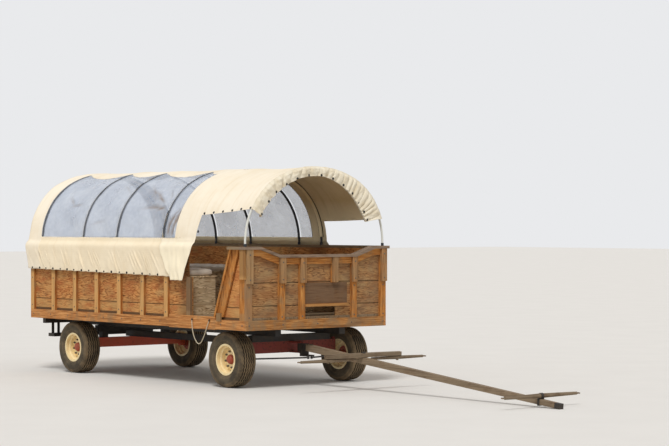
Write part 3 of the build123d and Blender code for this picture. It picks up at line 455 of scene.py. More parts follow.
for key, *paint in (
        # the rear axle's red is painted brighter than the front axle's: painted sunlight on it
        ("redPaint", "chalky red enamel", "#dd5f42", "#b46f54", "#54291b", 0.6, 0.0, 40, 0.62, 0.8, 220, 0.5),
        ("hubPaint", "rubbed red enamel", "#a8462f", "#8a5a40", "#4b2417", 0.5, 0.0, 18, 0.58, 0.7, 60, 0.6),
        ("oldRedPaint", "dull red enamel", "#7e2b20", "#6a4233", "#3a1c13", 0.65, 0.0, 40, 0.56, 0.8, 220, 0.6),
        ("blackSteel", "black oxide steel", "#211e1b", "#5b5043", "#49301f", 0.62, 0.0, 30, 0.6, 0.6, 180, 0.5),
        ("creamPaint", "cream wheel enamel", "#f8e4b2", "#d0a767", "#7a4a26", 0.42, 0.0, 24, 0.66, 0.85, 120, 0.45),
        ("whiteTube", "white enamelled tube", "#dcdcd4", "#b5b0a4", "#8a7664", 0.4, 0.0, 20, 0.7, 0.6, 140, 0.4),
        ("darkTube", "dark drawn tube", "#20242b", "#494745", "#4e3a2c", 0.45, 0.0, 20, 0.68, 0.5, 140, 0.35),
        ("boltSteel", "zinc plated bolts", "#6d675f", "#57493a", "#5a3622", 0.5, 0.6, 12, 0.55, 0.8, 60, 0.5),
        ("snapMetal", "blackened brass snaps", "#191613", "#332c24", "#5d4c33", 0.5, 0.2, 8, 0.6, 0.6, 40, 0.3)):
    finish[key] = makeFinish({"recipe": paintedSteel, **dict(zip(paintColumns, paint))})
for key, recipe, name, roughness, coords in (
        ("clearVinyl", clearVinyl, "pressed clear vinyl", 0.2, "UV"),
        ("tyre", tyreRubber, "weathered tyre rubber", 0.85, "Object"),
        ("rope", twistedRope, "laid natural rope", 0.9, "Object"),
        ("cushion", paddedVinyl, "embossed seat vinyl", 0.5, "Object"),
        ("floor", plasterFloor, "pale plaster floor", 0.9, "Object")):
    finish[key] = makeFinish({"recipe": recipe, "name": name, "roughness": roughness, "coords": coords})
wearers = {
    "stakes": "wall_stakes", "diagonals": "door_diagonals", "sills": "side_sills", "frontRails": "front_rails",
    "greyAcross": "crossbeams", "benchPly": "driver_bench benches", "sidePly": "box_walls",
    "frontPly": "front_wall", "endSills": "end_sills", "frontStakes": "front_stakes", "cleats": "front_cleats",
    "capBoard": "front_cap", "patchBoard": "front_patch", "doorPosts": "door_posts", "greyAlong": "top_rails",
    "deckPlanks": "deck_planks", "whiteTube": "front_bow", "darkTube": "bows bow_sockets",
    "redPaint": "rear_axle", "oldRedPaint": "front_axle knuckle_r knuckle_l",
    "blackSteel": "reach bolsters stringers rear_step steering_head tie_rod_r tie_rod_l pole_hardware rope_eyes",
    "poleWood": "pole", "crossWood": "doubletree singletree_r singletree_l neck_yoke",
    "canvas": "canopy_cover front_ruffle rear_curtain", "clearVinyl": "side_windows", "rope": "rope_loop",
    "cushion": "cushions", "creamPaint": "rim_rr rim_rl rim_fr rim_fl", "hubPaint": "hub_rr hub_rl hub_fr hub_fl",
    "tyre": "tyre_rr tyre_rl tyre_fr tyre_fl",
}
for look, nodeNames in wearers.items():
    for nodeName in nodeNames.split():
        nodes[nodeName].data.materials.clear()
        nodes[nodeName].data.materials.append(finish[look])
print("finishes on", sum(len(names.split()) for names in wearers.values()), "of", len(nodes), "frame pieces")


# Camera at the photographed angle

cameraView = {"place": (22.64, -18.18, 2.215), "look": (-0.769, 0.639, 0.0), "lens": 114.1}
cameraData = bpy.data.cameras.new("camera")
cameraData.lens, cameraData.sensor_width, cameraData.clip_end = cameraView["lens"], 36, 300
camera = bpy.data.objects.new("camera", cameraData)
aim = Vector(cameraView["look"]).to_track_quat("-Z", "Y").to_matrix().to_4x4()
camera.matrix_world = Matrix.Translation(cameraView["place"]) @ aim
bpy.context.scene.collection.objects.link(camera)
bpy.context.scene.camera = camera


# Rope loop at the door sill: three strands, each a helix about the hanging line

ropeLoop = {"back": 1.200, "top": 0.894, "y": -1.234, "diameter": 0.013, "strandTurn": 0.042, "length": 0.779}
ropeRoute = [(0, 0), (1, -40), (6, -88), (18, -142), (38, -196), (66, -246), (104, -290), (150, -318),
             (198, -306), (238, -268), (272, -219), (302, -166), (330, -113), (357, -63), (390, 0)]


def meshPoints(mesh):
    # the mesh's points, a row for each
    points = np.empty(len(mesh.vertices) * 3)
    mesh.vertices.foreach_get("co", points)
    return points.reshape(-1, 3)


def splinePoints(name, points):
    # points read from a NURBS curve that has the route as its control points
    curve = bpy.data.curves.new(name, "CURVE")
    curve.dimensions = "3D"
    spline = curve.splines.new("NURBS")
    spline.points.add(len(points) - 1)
    spline.points.foreach_set("co", np.hstack([points, np.ones((len(points), 1))]).ravel())
    spline.order_u = 3
    spline.use_endpoint_u = True
    spline.resolution_u = 24
    holder = bpy.data.objects.new(name, curve)
    mesh = bpy.data.meshes.new_from_object(holder)
    line = meshPoints(mesh)
    bpy.data.meshes.remove(mesh)
    bpy.data.objects.remove(holder)
    bpy.data.curves.remove(curve)
    return line


def evenPath(points, step):
    # the same line with its points a step apart
    along = np.concatenate([[0], np.cumsum(np.linalg.norm(np.diff(points, axis=0), axis=1))])
    spots = np.linspace(0, along[-1], max(8, int(along[-1] / step)))
    return np.stack([np.interp(spots, along, points[:, i]) for i in range(3)], axis=1), spots


route = np.array([(frontX - ropeLoop["back"] + x / 1000, ropeLoop["y"], ropeLoop["top"] + z / 1000)
                  for x, z in ropeRoute])
ropeLine, ropeSpots = evenPath(splinePoints("ropeRoute", route), 0.004)
side, high = pathFrames(ropeLine, np.array([0.0, 1.0, 0.0]))
strands = []
for k in range(3):
    turn = fullTurn * (ropeSpots / ropeLoop["strandTurn"] + k / 3)[:, None]
    offset = 0.26 * ropeLoop["diameter"] * (np.cos(turn) * side + np.sin(turn) * high)
    strands.append(tubeGrid(ropeLine + offset, 0.25 * ropeLoop["diameter"], 8, (0, 1, 0)))
rope = mount(joinGrids("ropeStrands", strands, ["rope"], closeColumns=True), "rope_loop")
print("rope laid", round(float(ropeSpots[-1]), 3), "m")


# Canvas section: crown arc, side arc, over the rail, in to the stakes

hoop = {"half": 1.2, "rise": 1.01, "sideR": 0.96, "springZ": 1.95, "lift": 0.0185, "railOut": 1.270,
        "railTop": 1.900, "railBottom": 1.858, "stakeOut": 1.2265, "lowZ": 1.38, "back": 5.396,
        "bows": (0.05, 1.39, 1.9, 3.06, 3.93, 5.05, 5.31)}
sideC = hoop["half"] - hoop["sideR"]
crownR = (hoop["rise"] ** 2 + sideC ** 2 - hoop["sideR"] ** 2) / (2 * (hoop["rise"] - hoop["sideR"]))
crownZ = hoop["springZ"] + hoop["rise"] - crownR
meet = math.atan2(hoop["springZ"] - crownZ, sideC)
bowPlaces = np.array(hoop["bows"])


def sectionTable():
    # half of the section from the crown down: y and z against the length t along it, corners rounded by a bell
    a = np.linspace(0, math.pi / 2 - meet, 80)
    b = np.linspace(meet, 0, 120)[1:]
    outR, sideOut = crownR + hoop["lift"], hoop["sideR"] + hoop["lift"]
    y = np.concatenate([outR * np.sin(a), sideC + sideOut * np.cos(b),
                        [hoop["railOut"], hoop["railOut"], hoop["stakeOut"]]])
    z = np.concatenate([crownZ + outR * np.cos(a), hoop["springZ"] + sideOut * np.sin(b),
                        [hoop["railTop"], hoop["railBottom"], hoop["lowZ"]]])
    along = np.concatenate([[0], np.cumsum(np.hypot(np.diff(y), np.diff(z)))])
    t = np.arange(0, along[-1], 0.004)
    y, z = np.interp(t, along, y), np.interp(t, along, z)
    kernel = np.exp(-0.5 * (np.arange(-12, 13) / 4.0) ** 2)
    kernel /= kernel.sum()
    # mirrored past the crown and run straight on past the foot
    y, z = [np.convolve(np.concatenate([sign * v[12:0:-1], v, v[-1] + (v[-1] - v[-2]) * np.arange(1, 13)]),
                        kernel, "valid") for v, sign in ((y, -1), (z, 1))]
    dy, dz = np.gradient(y), np.gradient(z)
    size = np.hypot(dy, dz)
    return t, y, z, -dz / size, dy / size


tTable, yTable, zTable, nyTable, nzTable = sectionTable()


def tAtZ(z):
    # length along the half section, from the crown down to a height
    return np.interp(-np.asarray(z, float), -zTable, tTable)


def zAtT(t):
    # height at a length along the section, the same on both sides
    return np.interp(np.abs(t), tTable, zTable)


def spanSag(d):
    # 0 at each bow and 1 half way; the first value is that times the square of the span
    k = np.clip(np.searchsorted(bowPlaces, d), 1, len(bowPlaces) - 1)
    low, high = bowPlaces[k - 1], bowPlaces[k]
    f = np.clip((d - low) / (high - low), 0, 1)
    return 4 * f * (1 - f) * (high - low) ** 2, 4 * f * (1 - f)


def onCloth(d, t, lift):
    # place on the section at distance d and length t (right side below 0), lifted along its normal
    a = np.abs(t)
    y = np.interp(a, tTable, yTable) + np.interp(a, tTable, nyTable) * lift
    z = np.interp(a, tTable, zTable) + np.interp(a, tTable, nzTable) * lift
    return stacked(frontX - d, np.where(t < 0, -1.0, 1.0) * y, z)


crease = {"count": 56, "wide": (0.007, 0.019), "high": (0.003, 0.014), "slant": (0.40, 0.70),
          "start": (0.0, 0.07), "end": (0.30, 0.52), "place": (1.5, 5.9), "seed": 5}
creasePick = np.random.default_rng(crease["seed"])
creaseTable = {key: creasePick.uniform(*crease[key], crease["count"])
               for key in ("wide", "high", "slant", "start", "end", "place")}


clothFolds = {"sag": 0.010, "windowSag": 0.018, "swells": ((0.0022, 0.55, 1), (0.0008, 0.16, 2)), "lineZ": 1.885,
              "hang": 0.004, "hangSize": 0.22, "corner": 0.026, "gather": 0.0012, "gatherStep": 0.052}


def clothLift(d, t):
    # how far the cloth lies out from the plain section: sag between bows and slanting creases under the rail
    s, a, z = clothFolds, np.abs(t), zAtT(t)
    windowed = easeStep(d, 1.5, 1.75) * easeStep(-d, -5.1, -5.0)
    depth = s["sag"] + s["windowSag"] * windowed * easeStep(a, 0.2, 0.6)
    lift = -spanSag(d)[0] * depth * easeStep(z, 1.93, 2.25)
    lift = lift + swells(d, t, s["swells"])
    below = s["lineZ"] - z
    flank = easeStep(below, 0.0, 0.05)
    c, deep = creaseTable, below[..., None]
    # a crease runs down and forwards: its place moves forwards by slant for each unit of depth
    away = (d[..., None] + c["slant"] * deep - c["place"]) / c["wide"]
    fold = c["high"] * (np.exp(-away ** 2) - 0.45 * np.exp(-(away + 1.7) ** 2))
    fold = fold * easeStep(deep, c["start"], c["start"] + 0.10)
    fold = fold * easeStep(-deep, -c["end"], -c["end"] + 0.14)
    loose = np.where(t < 0, 1.0, 0.85) * easeStep(d, 1.8, 2.15)
    lift += flank * loose * fold.sum(-1)
    lift += flank * easeStep(below, 0.05, 0.3) * s["hang"] * (1 + softNoise(d, 0.3 * below, s["hangSize"], 3))
    # the cover stands off where it goes round the rail's rear end
    lift += s["corner"] * easeStep(d, 5.05, 5.36) * bell(z, 1.86, 0.15)
    # fine upright gathers just under the window seam
    seam = bell(z, 1.97, 0.07) * windowed
    return lift + s["gather"] * seam * np.sin(fullTurn * d / s["gatherStep"] + 2 * softNoise(d, 0 * d, 0.6, 4))


def panelByD(dFrom, dTo, rows, tLow, tHigh, columns):
    # d and t over a panel whose long edges are functions of d
    d = np.linspace(dFrom, dTo, rows)[:, None]
    return d, tLow(d) + (tHigh(d) - tLow(d)) * np.linspace(0, 1, columns)


def panelByT(t, rows, dLow, dHigh):
    # d and t over a panel whose front and back edges are functions of t
    return dLow(t) + (dHigh(t) - dLow(t)) * np.linspace(0, 1, rows)[:, None], t[None, :]


def clothPanel(dt, extra=0.0, more=None):
    # points and uv of a panel on the section, lifted by the cloth's own folds and whatever more it has
    d, t = dt
    lift = clothLift(d, t) + extra
    if more is not None:
        lift = lift + more(d, t)
    return onCloth(d, t, lift), stacked(d, t)


def hangSheet(name, node, flat, held, panels, looks=("canvas", "canvasInside"), flip=True, **values):
    # one sheet of several panels with its thickness; canvas has its inside painted darker as painted shade, vinyl is
    # thinner and has values
    slot, thickness = ("canvas", 0.002) if len(looks) > 1 else ("clear_vinyl", 0.001)
    grids, uvs = zip(*panels)
    piece = joinGrids(name, grids, looks, uvs, flip=flip)
    for key, value in values.items():
        addValues(piece, key, value)
    addSolid(piece, thickness, -1.0, len(looks) - 1)
    mount(piece, node)


windowEdge = {"back": 5.068, "sill": 2.01, "top": 0.330, "scallop": 0.165}
skirtEdge = {"rear": 1.53, "front": 1.476, "frontD": 1.76, "snapStep": 0.193, "snapFirst": 0.05, "rise": 0.005}
hoodEdge = {
    # z against d of each free edge, from the crown down
    "rightFront": ((2.402, 0.03), (2.330, 1.100), (2.090, 1.130), (1.900, 1.133), (1.858, 1.149), (1.650, 1.252),
                   (1.435, 1.370)),
    "rightBack": ((2.012, 1.615), (2.000, 1.930), (1.790, 1.880), (1.500, 1.700), (1.435, 1.680)),
    "leftFront": ((2.270, 0.03), (2.240, 1.290), (1.470, 1.290)),
    "leftBack": ((2.240, 1.615), (1.470, 1.615)),
}


def windowTop(d):
    # length from the crown to a window's upper edge, which dips in a scallop between two bows
    return windowEdge["top"] + windowEdge["scallop"] * spanSag(d)[1] ** 0.8


def skirtT(d):
    # length to the skirt's foot: straight from front to rear, rising a little between two snaps
    s = skirtEdge
    z = np.interp(d, [s["frontD"], hoop["back"]], [s["front"], s["rear"]])
    return tAtZ(z + s["rise"] * np.abs(np.sin(np.pi * (d - s["snapFirst"]) / s["snapStep"])))


def edgeD(key, t):
    # distance of a free edge at a length along the section, read from its heights
    z, d = np.array(hoodEdge[key]).T
    return np.interp(-zAtT(t), -z, d)


def hoodSide(end):
    # the free edge at that end of the hood, right and left, as a function of t
    return lambda t: np.where(t < 0, edgeD("right" + end, t), edgeD("left" + end, t))


def tSteps(zList, counts):
    # lengths between the heights of the list, evenly spaced inside each part
    ends = tAtZ(np.array(zList))
    parts = [np.linspace(p, q, n, endpoint=False) for p, q, n in zip(ends[:-1], ends[1:], counts)]
    return np.concatenate(parts + [ends[-1:]])


tongue = {"seamZ": 2.02, "over": 0.010, "railZ": 1.86, "off": 0.026, "edge": 0.012, "edgeWide": 0.10, "footZ": 1.56,
          "foot": 0.010, "footStep": 0.115, "puckers": ((0.005, 0.13, 41),)}


def tongueLift(d, t):
    # the tongue lies over the skirt, stands off at its free front edge and ripples at its foot
    s, z = tongue, zAtT(t)
    over = s["over"] * easeStep(s["seamZ"] - z, 0.0, 0.05) + s["off"] * easeStep(s["railZ"] - z, 0.0, 0.40)
    edge = s["edge"] * bell(d, edgeD("rightFront", t), s["edgeWide"])
    foot = easeStep(s["footZ"] - z, 0.0, 0.12) * s["foot"] * np.sin(fullTurn * d / s["footStep"])
    free = easeStep(2.25 - z, 0.0, 0.6) * (edge + foot + swells(d, 0.25 * t, s["puckers"]))
    return np.where(t < 0, over + free, 0.0)


rightT = -tSteps([zTable[0], 2.402, 2.330, 2.012, 2.000, 1.435], [60, 10, 18, 3, 44])[::-1]
leftT = tSteps([zTable[0], 2.270, 2.240, 1.470], [66, 5, 40])[1:]
sillT = float(tAtZ(windowEdge["sill"]))
hood = clothPanel(panelByT(np.concatenate([rightT, leftT]), 74, hoodSide("Front"), hoodSide("Back")), 0.0015,
                  tongueLift)
crownStrip = clothPanel(panelByD(1.60, 5.10, 190, lambda d: -windowTop(d), windowTop, 44))
rearStrip = clothPanel(panelByD(windowEdge["back"] - 0.002, hoop["back"], 22, lambda d: -skirtT(d), skirtT, 190),
                       0.0015)
rightSkirt = clothPanel(panelByD(1.66, 5.10, 330, lambda d: -skirtT(d), lambda d: 0 * d - sillT, 44))
leftSkirt = clothPanel(panelByD(1.60, 5.10, 280, lambda d: 0 * d + sillT, skirtT, 40))
for name, flat, held, panel, look in (
        ("canopyHood", (1.95, 5.6), "stretched", hood, "canvasHood"),
        ("canopyCrown", (3.55, 1.1), "stretched", crownStrip, "canvas"),
        ("canopyRear", (0.36, 5.6), "stretched", rearStrip, "canvas"),
        ("skirtRight", (3.5, 0.66), "hung", rightSkirt, "canvasSkirt"),
        ("skirtLeft", (3.55, 0.66), "hung", leftSkirt, "canvasSkirt")):
    hangSheet(name, "canopy_cover", flat, held, [panel], (look, "canvasInside"))
print("canopy cloth cut")


# Clear side windows, drawn tight over the bows

vinyl = {"seam": 0.012, "swells": ((0.006, 0.42, 8), (0.0016, 0.12, 9)), "drawn": 0.0035, "end": 5.085,
         "haze": {"Right": 0.46, "Left": 0.34}, "clear": 0.92, "tight": 0.040}
# the right window's crumples: distance, length along the section, turn, half length, half width, height
crumpleTable = [
    (2.38, 0.98, -0.50, 0.22, 0.026, 0.016), (2.26, 1.08, -0.35, 0.16, 0.020, 0.012),
    (2.34, 1.20, -0.05, 0.24, 0.026, 0.018), (2.16, 1.24, 0.22, 0.13, 0.018, 0.012),
    (2.60, 0.90, -0.70, 0.18, 0.022, 0.011), (2.08, 1.00, -0.90, 0.12, 0.016, 0.010),
    (4.54, 1.10, -0.65, 0.12, 0.020, 0.013), (4.38, 1.16, 0.15, 0.12, 0.020, 0.013),
    (3.30, 0.86, -0.50, 0.18, 0.020, 0.009), (3.62, 1.46, 0.20, 0.16, 0.020, 0.007),
    (1.72, 1.55, 1.35, 0.20, 0.016, 0.026), (1.79, 1.44, 1.15, 0.18, 0.018, 0.024),
    (1.67, 1.40, 1.45, 0.16, 0.014, 0.020), (1.83, 1.62, 1.70, 0.10, 0.014, 0.020),
]


def vinylFold(d, t):
    # pressed folds, each a ridge along a short line with a hollow beside it; also the painted shade in each hollow
    a, lift, creaseShade = -t, 0 * d, 0 * d
    for place, length, turn, halfLong, halfWide, high in crumpleTable:
        along = (d - place) * math.cos(turn) + (a - length) * math.sin(turn)
        beside = (a - length) * math.cos(turn) - (d - place) * math.sin(turn) - 0.10 * along ** 2 / halfLong
        reach, hollow = bell(along, 0, halfLong), bell(beside, 2 * halfWide, halfWide)
        lift = lift + high * reach * (bell(beside, 0, halfWide) - 0.6 * hollow)
        creaseShade = creaseShade + high / 0.020 * reach * hollow
    return lift, np.clip(creaseShade, 0, 1)


def vinylSheet(d, t, word):
    # soft swells and folds that fade at the seams and bows; the sheet is drawn down on to each bow
    s, a = vinyl, np.abs(t)
    inside = easeStep(a, 0.40, 0.62) * easeStep(-a, -sillT, -sillT + 0.06)
    near = np.abs(d[..., None] - bowPlaces).min(-1)
    slack = easeStep(near, 0.0, 0.10) * inside
    fold, creaseShade = vinylFold(d, t)
    haze = s["haze"][word] * (1 - s["clear"] * np.exp(-(near / s["tight"]) ** 6))
    lift = slack * (swells(d, t, s["swells"]) + fold) - s["drawn"] * inside * (1 - easeStep(-near, -0.03, 0.0))
    return lift, haze, creaseShade * slack


closeD = [b + np.linspace(-0.045, 0.045, 13) for b in bowPlaces[2:6]]  # more rows where the sheet turns over a bow
windowD = np.unique(np.concatenate([np.linspace(1.60, vinyl["end"], 190), *closeD]))
windowD = windowD[windowD <= vinyl["end"]][:, None]
for sign, word in ((-1, "Right"), (1, "Left")):
    b = np.linspace(0, 1, 54)[None, :]
    t = sign * ((windowTop(windowD) - vinyl["seam"]) * (1 - b) + (sillT + vinyl["seam"]) * b)
    d = windowD + 0 * b
    lift, haze, creaseShade = vinylSheet(d, t, word)
    panel = onCloth(d, t, lift + clothLift(d, t)), stacked(d, t)
    hangSheet("window" + word, "side_windows", (3.52, 1.42), "stretched", [panel], ("clearVinyl",), sign > 0,
              haze=haze, fold=creaseShade)
print("windows hung")


# Front ruffle: canvas gathered round the front bow and snapped along its inner edge

ruffleShape = {"deep": 0.128, "rightMore": 0.052, "leftMore": 0.170, "start": 0.026, "bulge": 0.012,
               "fineStep": 0.095, "fine": 0.026, "wideStep": 0.17, "wide": 0.026, "back": 0.024, "innerIn": 0.014,
               "wander": 0.016, "slant": 0.05, "puckers": ((0.004, 0.11, 24), (0.0015, 0.05, 25))}
tRight, tLeft = -float(tAtZ(2.402)), float(tAtZ(2.270))


def ruffleDeep(t):
    # the band grows wider towards its ends, most at the left one
    s = ruffleShape
    return s["deep"] + s["rightMore"] * easeStep(-t, 0.2, 0.95) + s["leftMore"] * easeStep(t, 0.0, 1.25)


def puffs(place, step):
    # round puffs with sharp pinched valleys between them
    return np.abs(np.sin(np.pi * place / step)) ** 0.62


def ruffleFront(t, face):
    # how far the gathered band stands out in front of the hood's edge, and how full its puffs are there
    s = ruffleShape
    wander = t + s["wander"] * softNoise(t, 0 * t, 0.45, 21)
    slanted = wander + s["slant"] * (face - 0.4) * softNoise(t, 0 * t, 0.7, 23)
    left = easeStep(t, -0.35, 0.45)
    fine = s["fine"] * (0.14 + 0.86 * left) * puffs(slanted, s["fineStep"])
    wide = s["wide"] * (1 - 0.75 * left) * puffs(slanted - tRight + 0.5 * s["wideStep"] * (face - 0.5), s["wideStep"])
    full = easeStep(face, 0.0, 0.25)
    puckers = swells(t, 0.15 * face, s["puckers"])
    out = s["bulge"] * full - s["innerIn"] * easeStep(face, 0.55, 1.0) + full * (fine + wide + puckers)
    return out, (fine + wide) / (s["fine"] + s["wide"])


def ruffleSpot(t, face, behind, proud=0.0):
    # place on the band: out in front of its start, inwards by its depth, turned back behind its inner edge
    out, full = ruffleFront(t + 0 * face, face + 0 * t)
    out = proud - ruffleShape["start"] + out * (1 - behind) - ruffleShape["back"] * behind
    # the right end runs on a little along its inner edge, the left one stops short there
    along = t - 0.03 * face * easeStep(-t, -tRight - 0.30, -tRight) - 0.09 * face * easeStep(t, tLeft - 0.40, tLeft)
    scallop = 0.008 * full * bell(face, 0, 0.25) - 0.010 * full * easeStep(face, 0.7, 1.0)
    lift = clothLift(0 * along, along) * (1 - face) + 0.003 - ruffleDeep(along) * face + scallop + 0.012 * behind
    return onCloth(-out, along, lift)


# t runs round the hoop; b runs inwards from the hood's edge, then back towards the bow
t = np.linspace(tRight, tLeft, 560)[:, None]
b = np.linspace(0, 1, 30)[None, :]
ruffle = ruffleSpot(t, np.clip(b / 0.84, 0, 1), np.clip((b - 0.84) / 0.16, 0, 1))
hangSheet("frontRuffle", "front_ruffle", (4.6, 0.30), "gathered",
          [(ruffle, stacked(t, b * 0.19))], ("canvasRuffle", "canvasInside"))
print("ruffle gathered")


# Rear curtain: a flat sheet laced under the hoop, with long soft folds and a clear pane

curtainShape = {"d": 5.364, "low": 1.53, "fold": 0.016, "step": 0.24, "side": 0.87, "paneLow": 0.33,
                "paneTop": 0.955, "haze": 0.30}


def curtainPanel(aLow, aHigh, bLow, bHigh, rows, columns, inward=0.0):
    # b runs up to the crown and a spans the hoop at each height, a little inside the cover
    b = np.sin(np.linspace(math.asin(bLow), math.asin(bHigh), rows))[:, None]
    a = np.linspace(aLow, aHigh, columns)[None, :]
    topZ = float(zTable[0]) - 0.012
    z = curtainShape["low"] + (topZ - curtainShape["low"]) * b
    reach = np.minimum(np.interp(-z, -zTable, yTable), hoop["half"] + 0.012) - 0.006
    y = a * np.where(b > 0.9999, 0.05, np.maximum(reach, 0.05))
    sway = 0.5 + 0.5 * np.sin(fullTurn * y / curtainShape["step"] + 1.3 * softNoise(y, z, 0.9, 31))
    free = easeStep(-np.abs(a), -1.0, -0.86) * easeStep(-z, -topZ, -topZ + 0.25)
    out = curtainShape["fold"] * sway * free * (0.5 + 0.5 * easeStep(-z, -2.6, -1.6)) - inward
    return stacked(frontX - curtainShape["d"] - out, y, z), stacked(y, z)


paneSide, paneLow, paneTop = (curtainShape[key] for key in ("side", "paneLow", "paneTop"))
around = [curtainPanel(*edges) for edges in ((-1, -paneSide, 0, 1, 70, 16), (paneSide, 1, 0, 1, 70, 16),
                                             (-paneSide, paneSide, 0, paneLow, 26, 90),
                                             (-paneSide, paneSide, paneTop, 1, 12, 90))]
hangSheet("rearCurtain", "rear_curtain", (2.42, 1.46), "hung", around)
pane = curtainPanel(-paneSide - 0.015, paneSide + 0.015, paneLow - 0.02, paneTop + 0.015, 40, 70, 0.003)
hangSheet("rearPane", "rear_curtain", (2.20, 1.02), "hung", [pane], ("clearVinyl",),
          haze=np.full(pane[0].shape[:2], curtainShape["haze"]), fold=np.zeros(pane[0].shape[:2]))
print("curtain hung")


# Webbing sleeves on the dark bows, which look wider than the bare white one

bowWrap = {"bows": (1.90, 3.06, 3.93, 5.05), "half": 0.021, "inside": 0.0185, "outside": 0.0152, "lowZ": 1.99,
           "sides": 12}
wrapEnd = float(tAtZ(bowWrap["lowZ"]))
wrapT = np.linspace(-wrapEnd, wrapEnd, 150)[:, None]
turn = ringTurns(bowWrap["sides"])
# an oval ring, flatter on its outer side, carried along the bow
reach = np.where(np.sin(turn) > 0, bowWrap["outside"], bowWrap["inside"]) * np.sin(turn) - hoop["lift"]
wraps = [onCloth(d + bowWrap["half"] * np.cos(turn), wrapT, reach) for d in bowWrap["bows"]]
mount(joinGrids("bowWraps", wraps, ["darkTube"], closeColumns=True))


# Canvas sleeve that holds the second bow to the cover, with a dark stitched edge at each side

sleeve = {"d": 1.395, "half": 0.047, "stitch": 0.042, "cord": 0.0065, "deep": 0.034, "wide": 0.023, "lowZ": 2.02}
sleeveT = np.linspace(-float(tAtZ(sleeve["lowZ"])), float(tAtZ(sleeve["lowZ"])), 160)
x = np.linspace(-sleeve["half"], sleeve["half"], 21)[:, None]
lift = -0.006 - sleeve["deep"] * np.exp(-(x / sleeve["wide"]) ** 4)
d, t = sleeve["d"] + x, sleeveT[None, :]
sleevePiece = joinGrids("bowSleeve", [onCloth(d, t, lift)], ["canvasInside"], [stacked(d, t)])
addSolid(sleevePiece, 0.0015, 1.0)
mount(sleevePiece)
edges = []
for side in (-1, 1):
    line = onCloth(np.full(160, sleeve["d"] + side * sleeve["stitch"]), sleeveT, np.full(160, -0.0105))
    edges.append(tubeGrid(line, sleeve["cord"], 6, (1, 0, 0)))
mount(joinGrids("sleeveStitch", edges, ["snapMetal"], closeColumns=True))


# Tyres: ribbed tread and ringed side walls turned about each spindle

tyreShape = {"bead": 0.1963, "beadHalf": 0.1077, "beadTop": 0.218, "outR": 0.3785,
             "shoulderR": 0.3485, "shoulderS": 0.129, "treadHalf": 0.112, "ribs": 6, "grooveWide": 0.015,
             "grooveDeep": 0.013, "segments": 160, "zigzags": 40, "zigzag": 0.006, "bulge": 0.021, "round": 0.009,
             "rings": ((0.10, 0.003), (0.30, 0.0012), (0.78, 0.0022), (0.90, 0.0016)), "ringWide": 0.022}


def tyreProfile():
    # half a section and its mirror: bead, bulged wall with raised rings, then ribs and grooves across the tread
    s = tyreShape
    share = np.linspace(0, 1, 30)
    wallR = s["beadTop"] + (s["shoulderR"] - s["beadTop"]) * share
    wallS = s["beadHalf"] + (s["shoulderS"] - s["beadHalf"]) * share
    wallS = wallS + s["bulge"] * np.sin(np.pi * share ** 0.9)
    for ring, high in s["rings"]:
        wallS = wallS + high * bell(share, ring, s["ringWide"])
    across = np.linspace(s["treadHalf"] + 0.008, 0, 61)
    step = 2 * s["treadHalf"] / s["ribs"]
    fromGroove = np.abs((across / step + 0.5) % 1 - 0.5) * step
    groove = easeStep(-fromGroove, -s["grooveWide"] / 2 - 0.002, -s["grooveWide"] / 2 + 0.002)
    groove = groove * (across < s["treadHalf"] - 0.01)
    crown = s["outR"] - s["round"] * (across / s["treadHalf"]) ** 2 - s["grooveDeep"] * groove
    half = np.vstack([[(s["bead"], 0.0), (s["bead"], s["beadHalf"])],
                      stacked(wallR, wallS), stacked(crown, across)])
    # the grooves, which the finish paints near black as painted shade
    hollow = np.concatenate([np.zeros(32), groove])
    wallDust = 0.9 * bell(share, 0.92, 0.10) + 0.35 * bell(share, 0.30, 0.05) + 0.5 * bell(share, 0.10, 0.04)
    rubbed = np.concatenate([[0, 0], wallDust, 1 - groove])
    return np.vstack([half, half[1:-1][::-1] * [1, -1]]), *(np.concatenate([v, v[1:-1][::-1]])
                                                            for v in (hollow, rubbed))


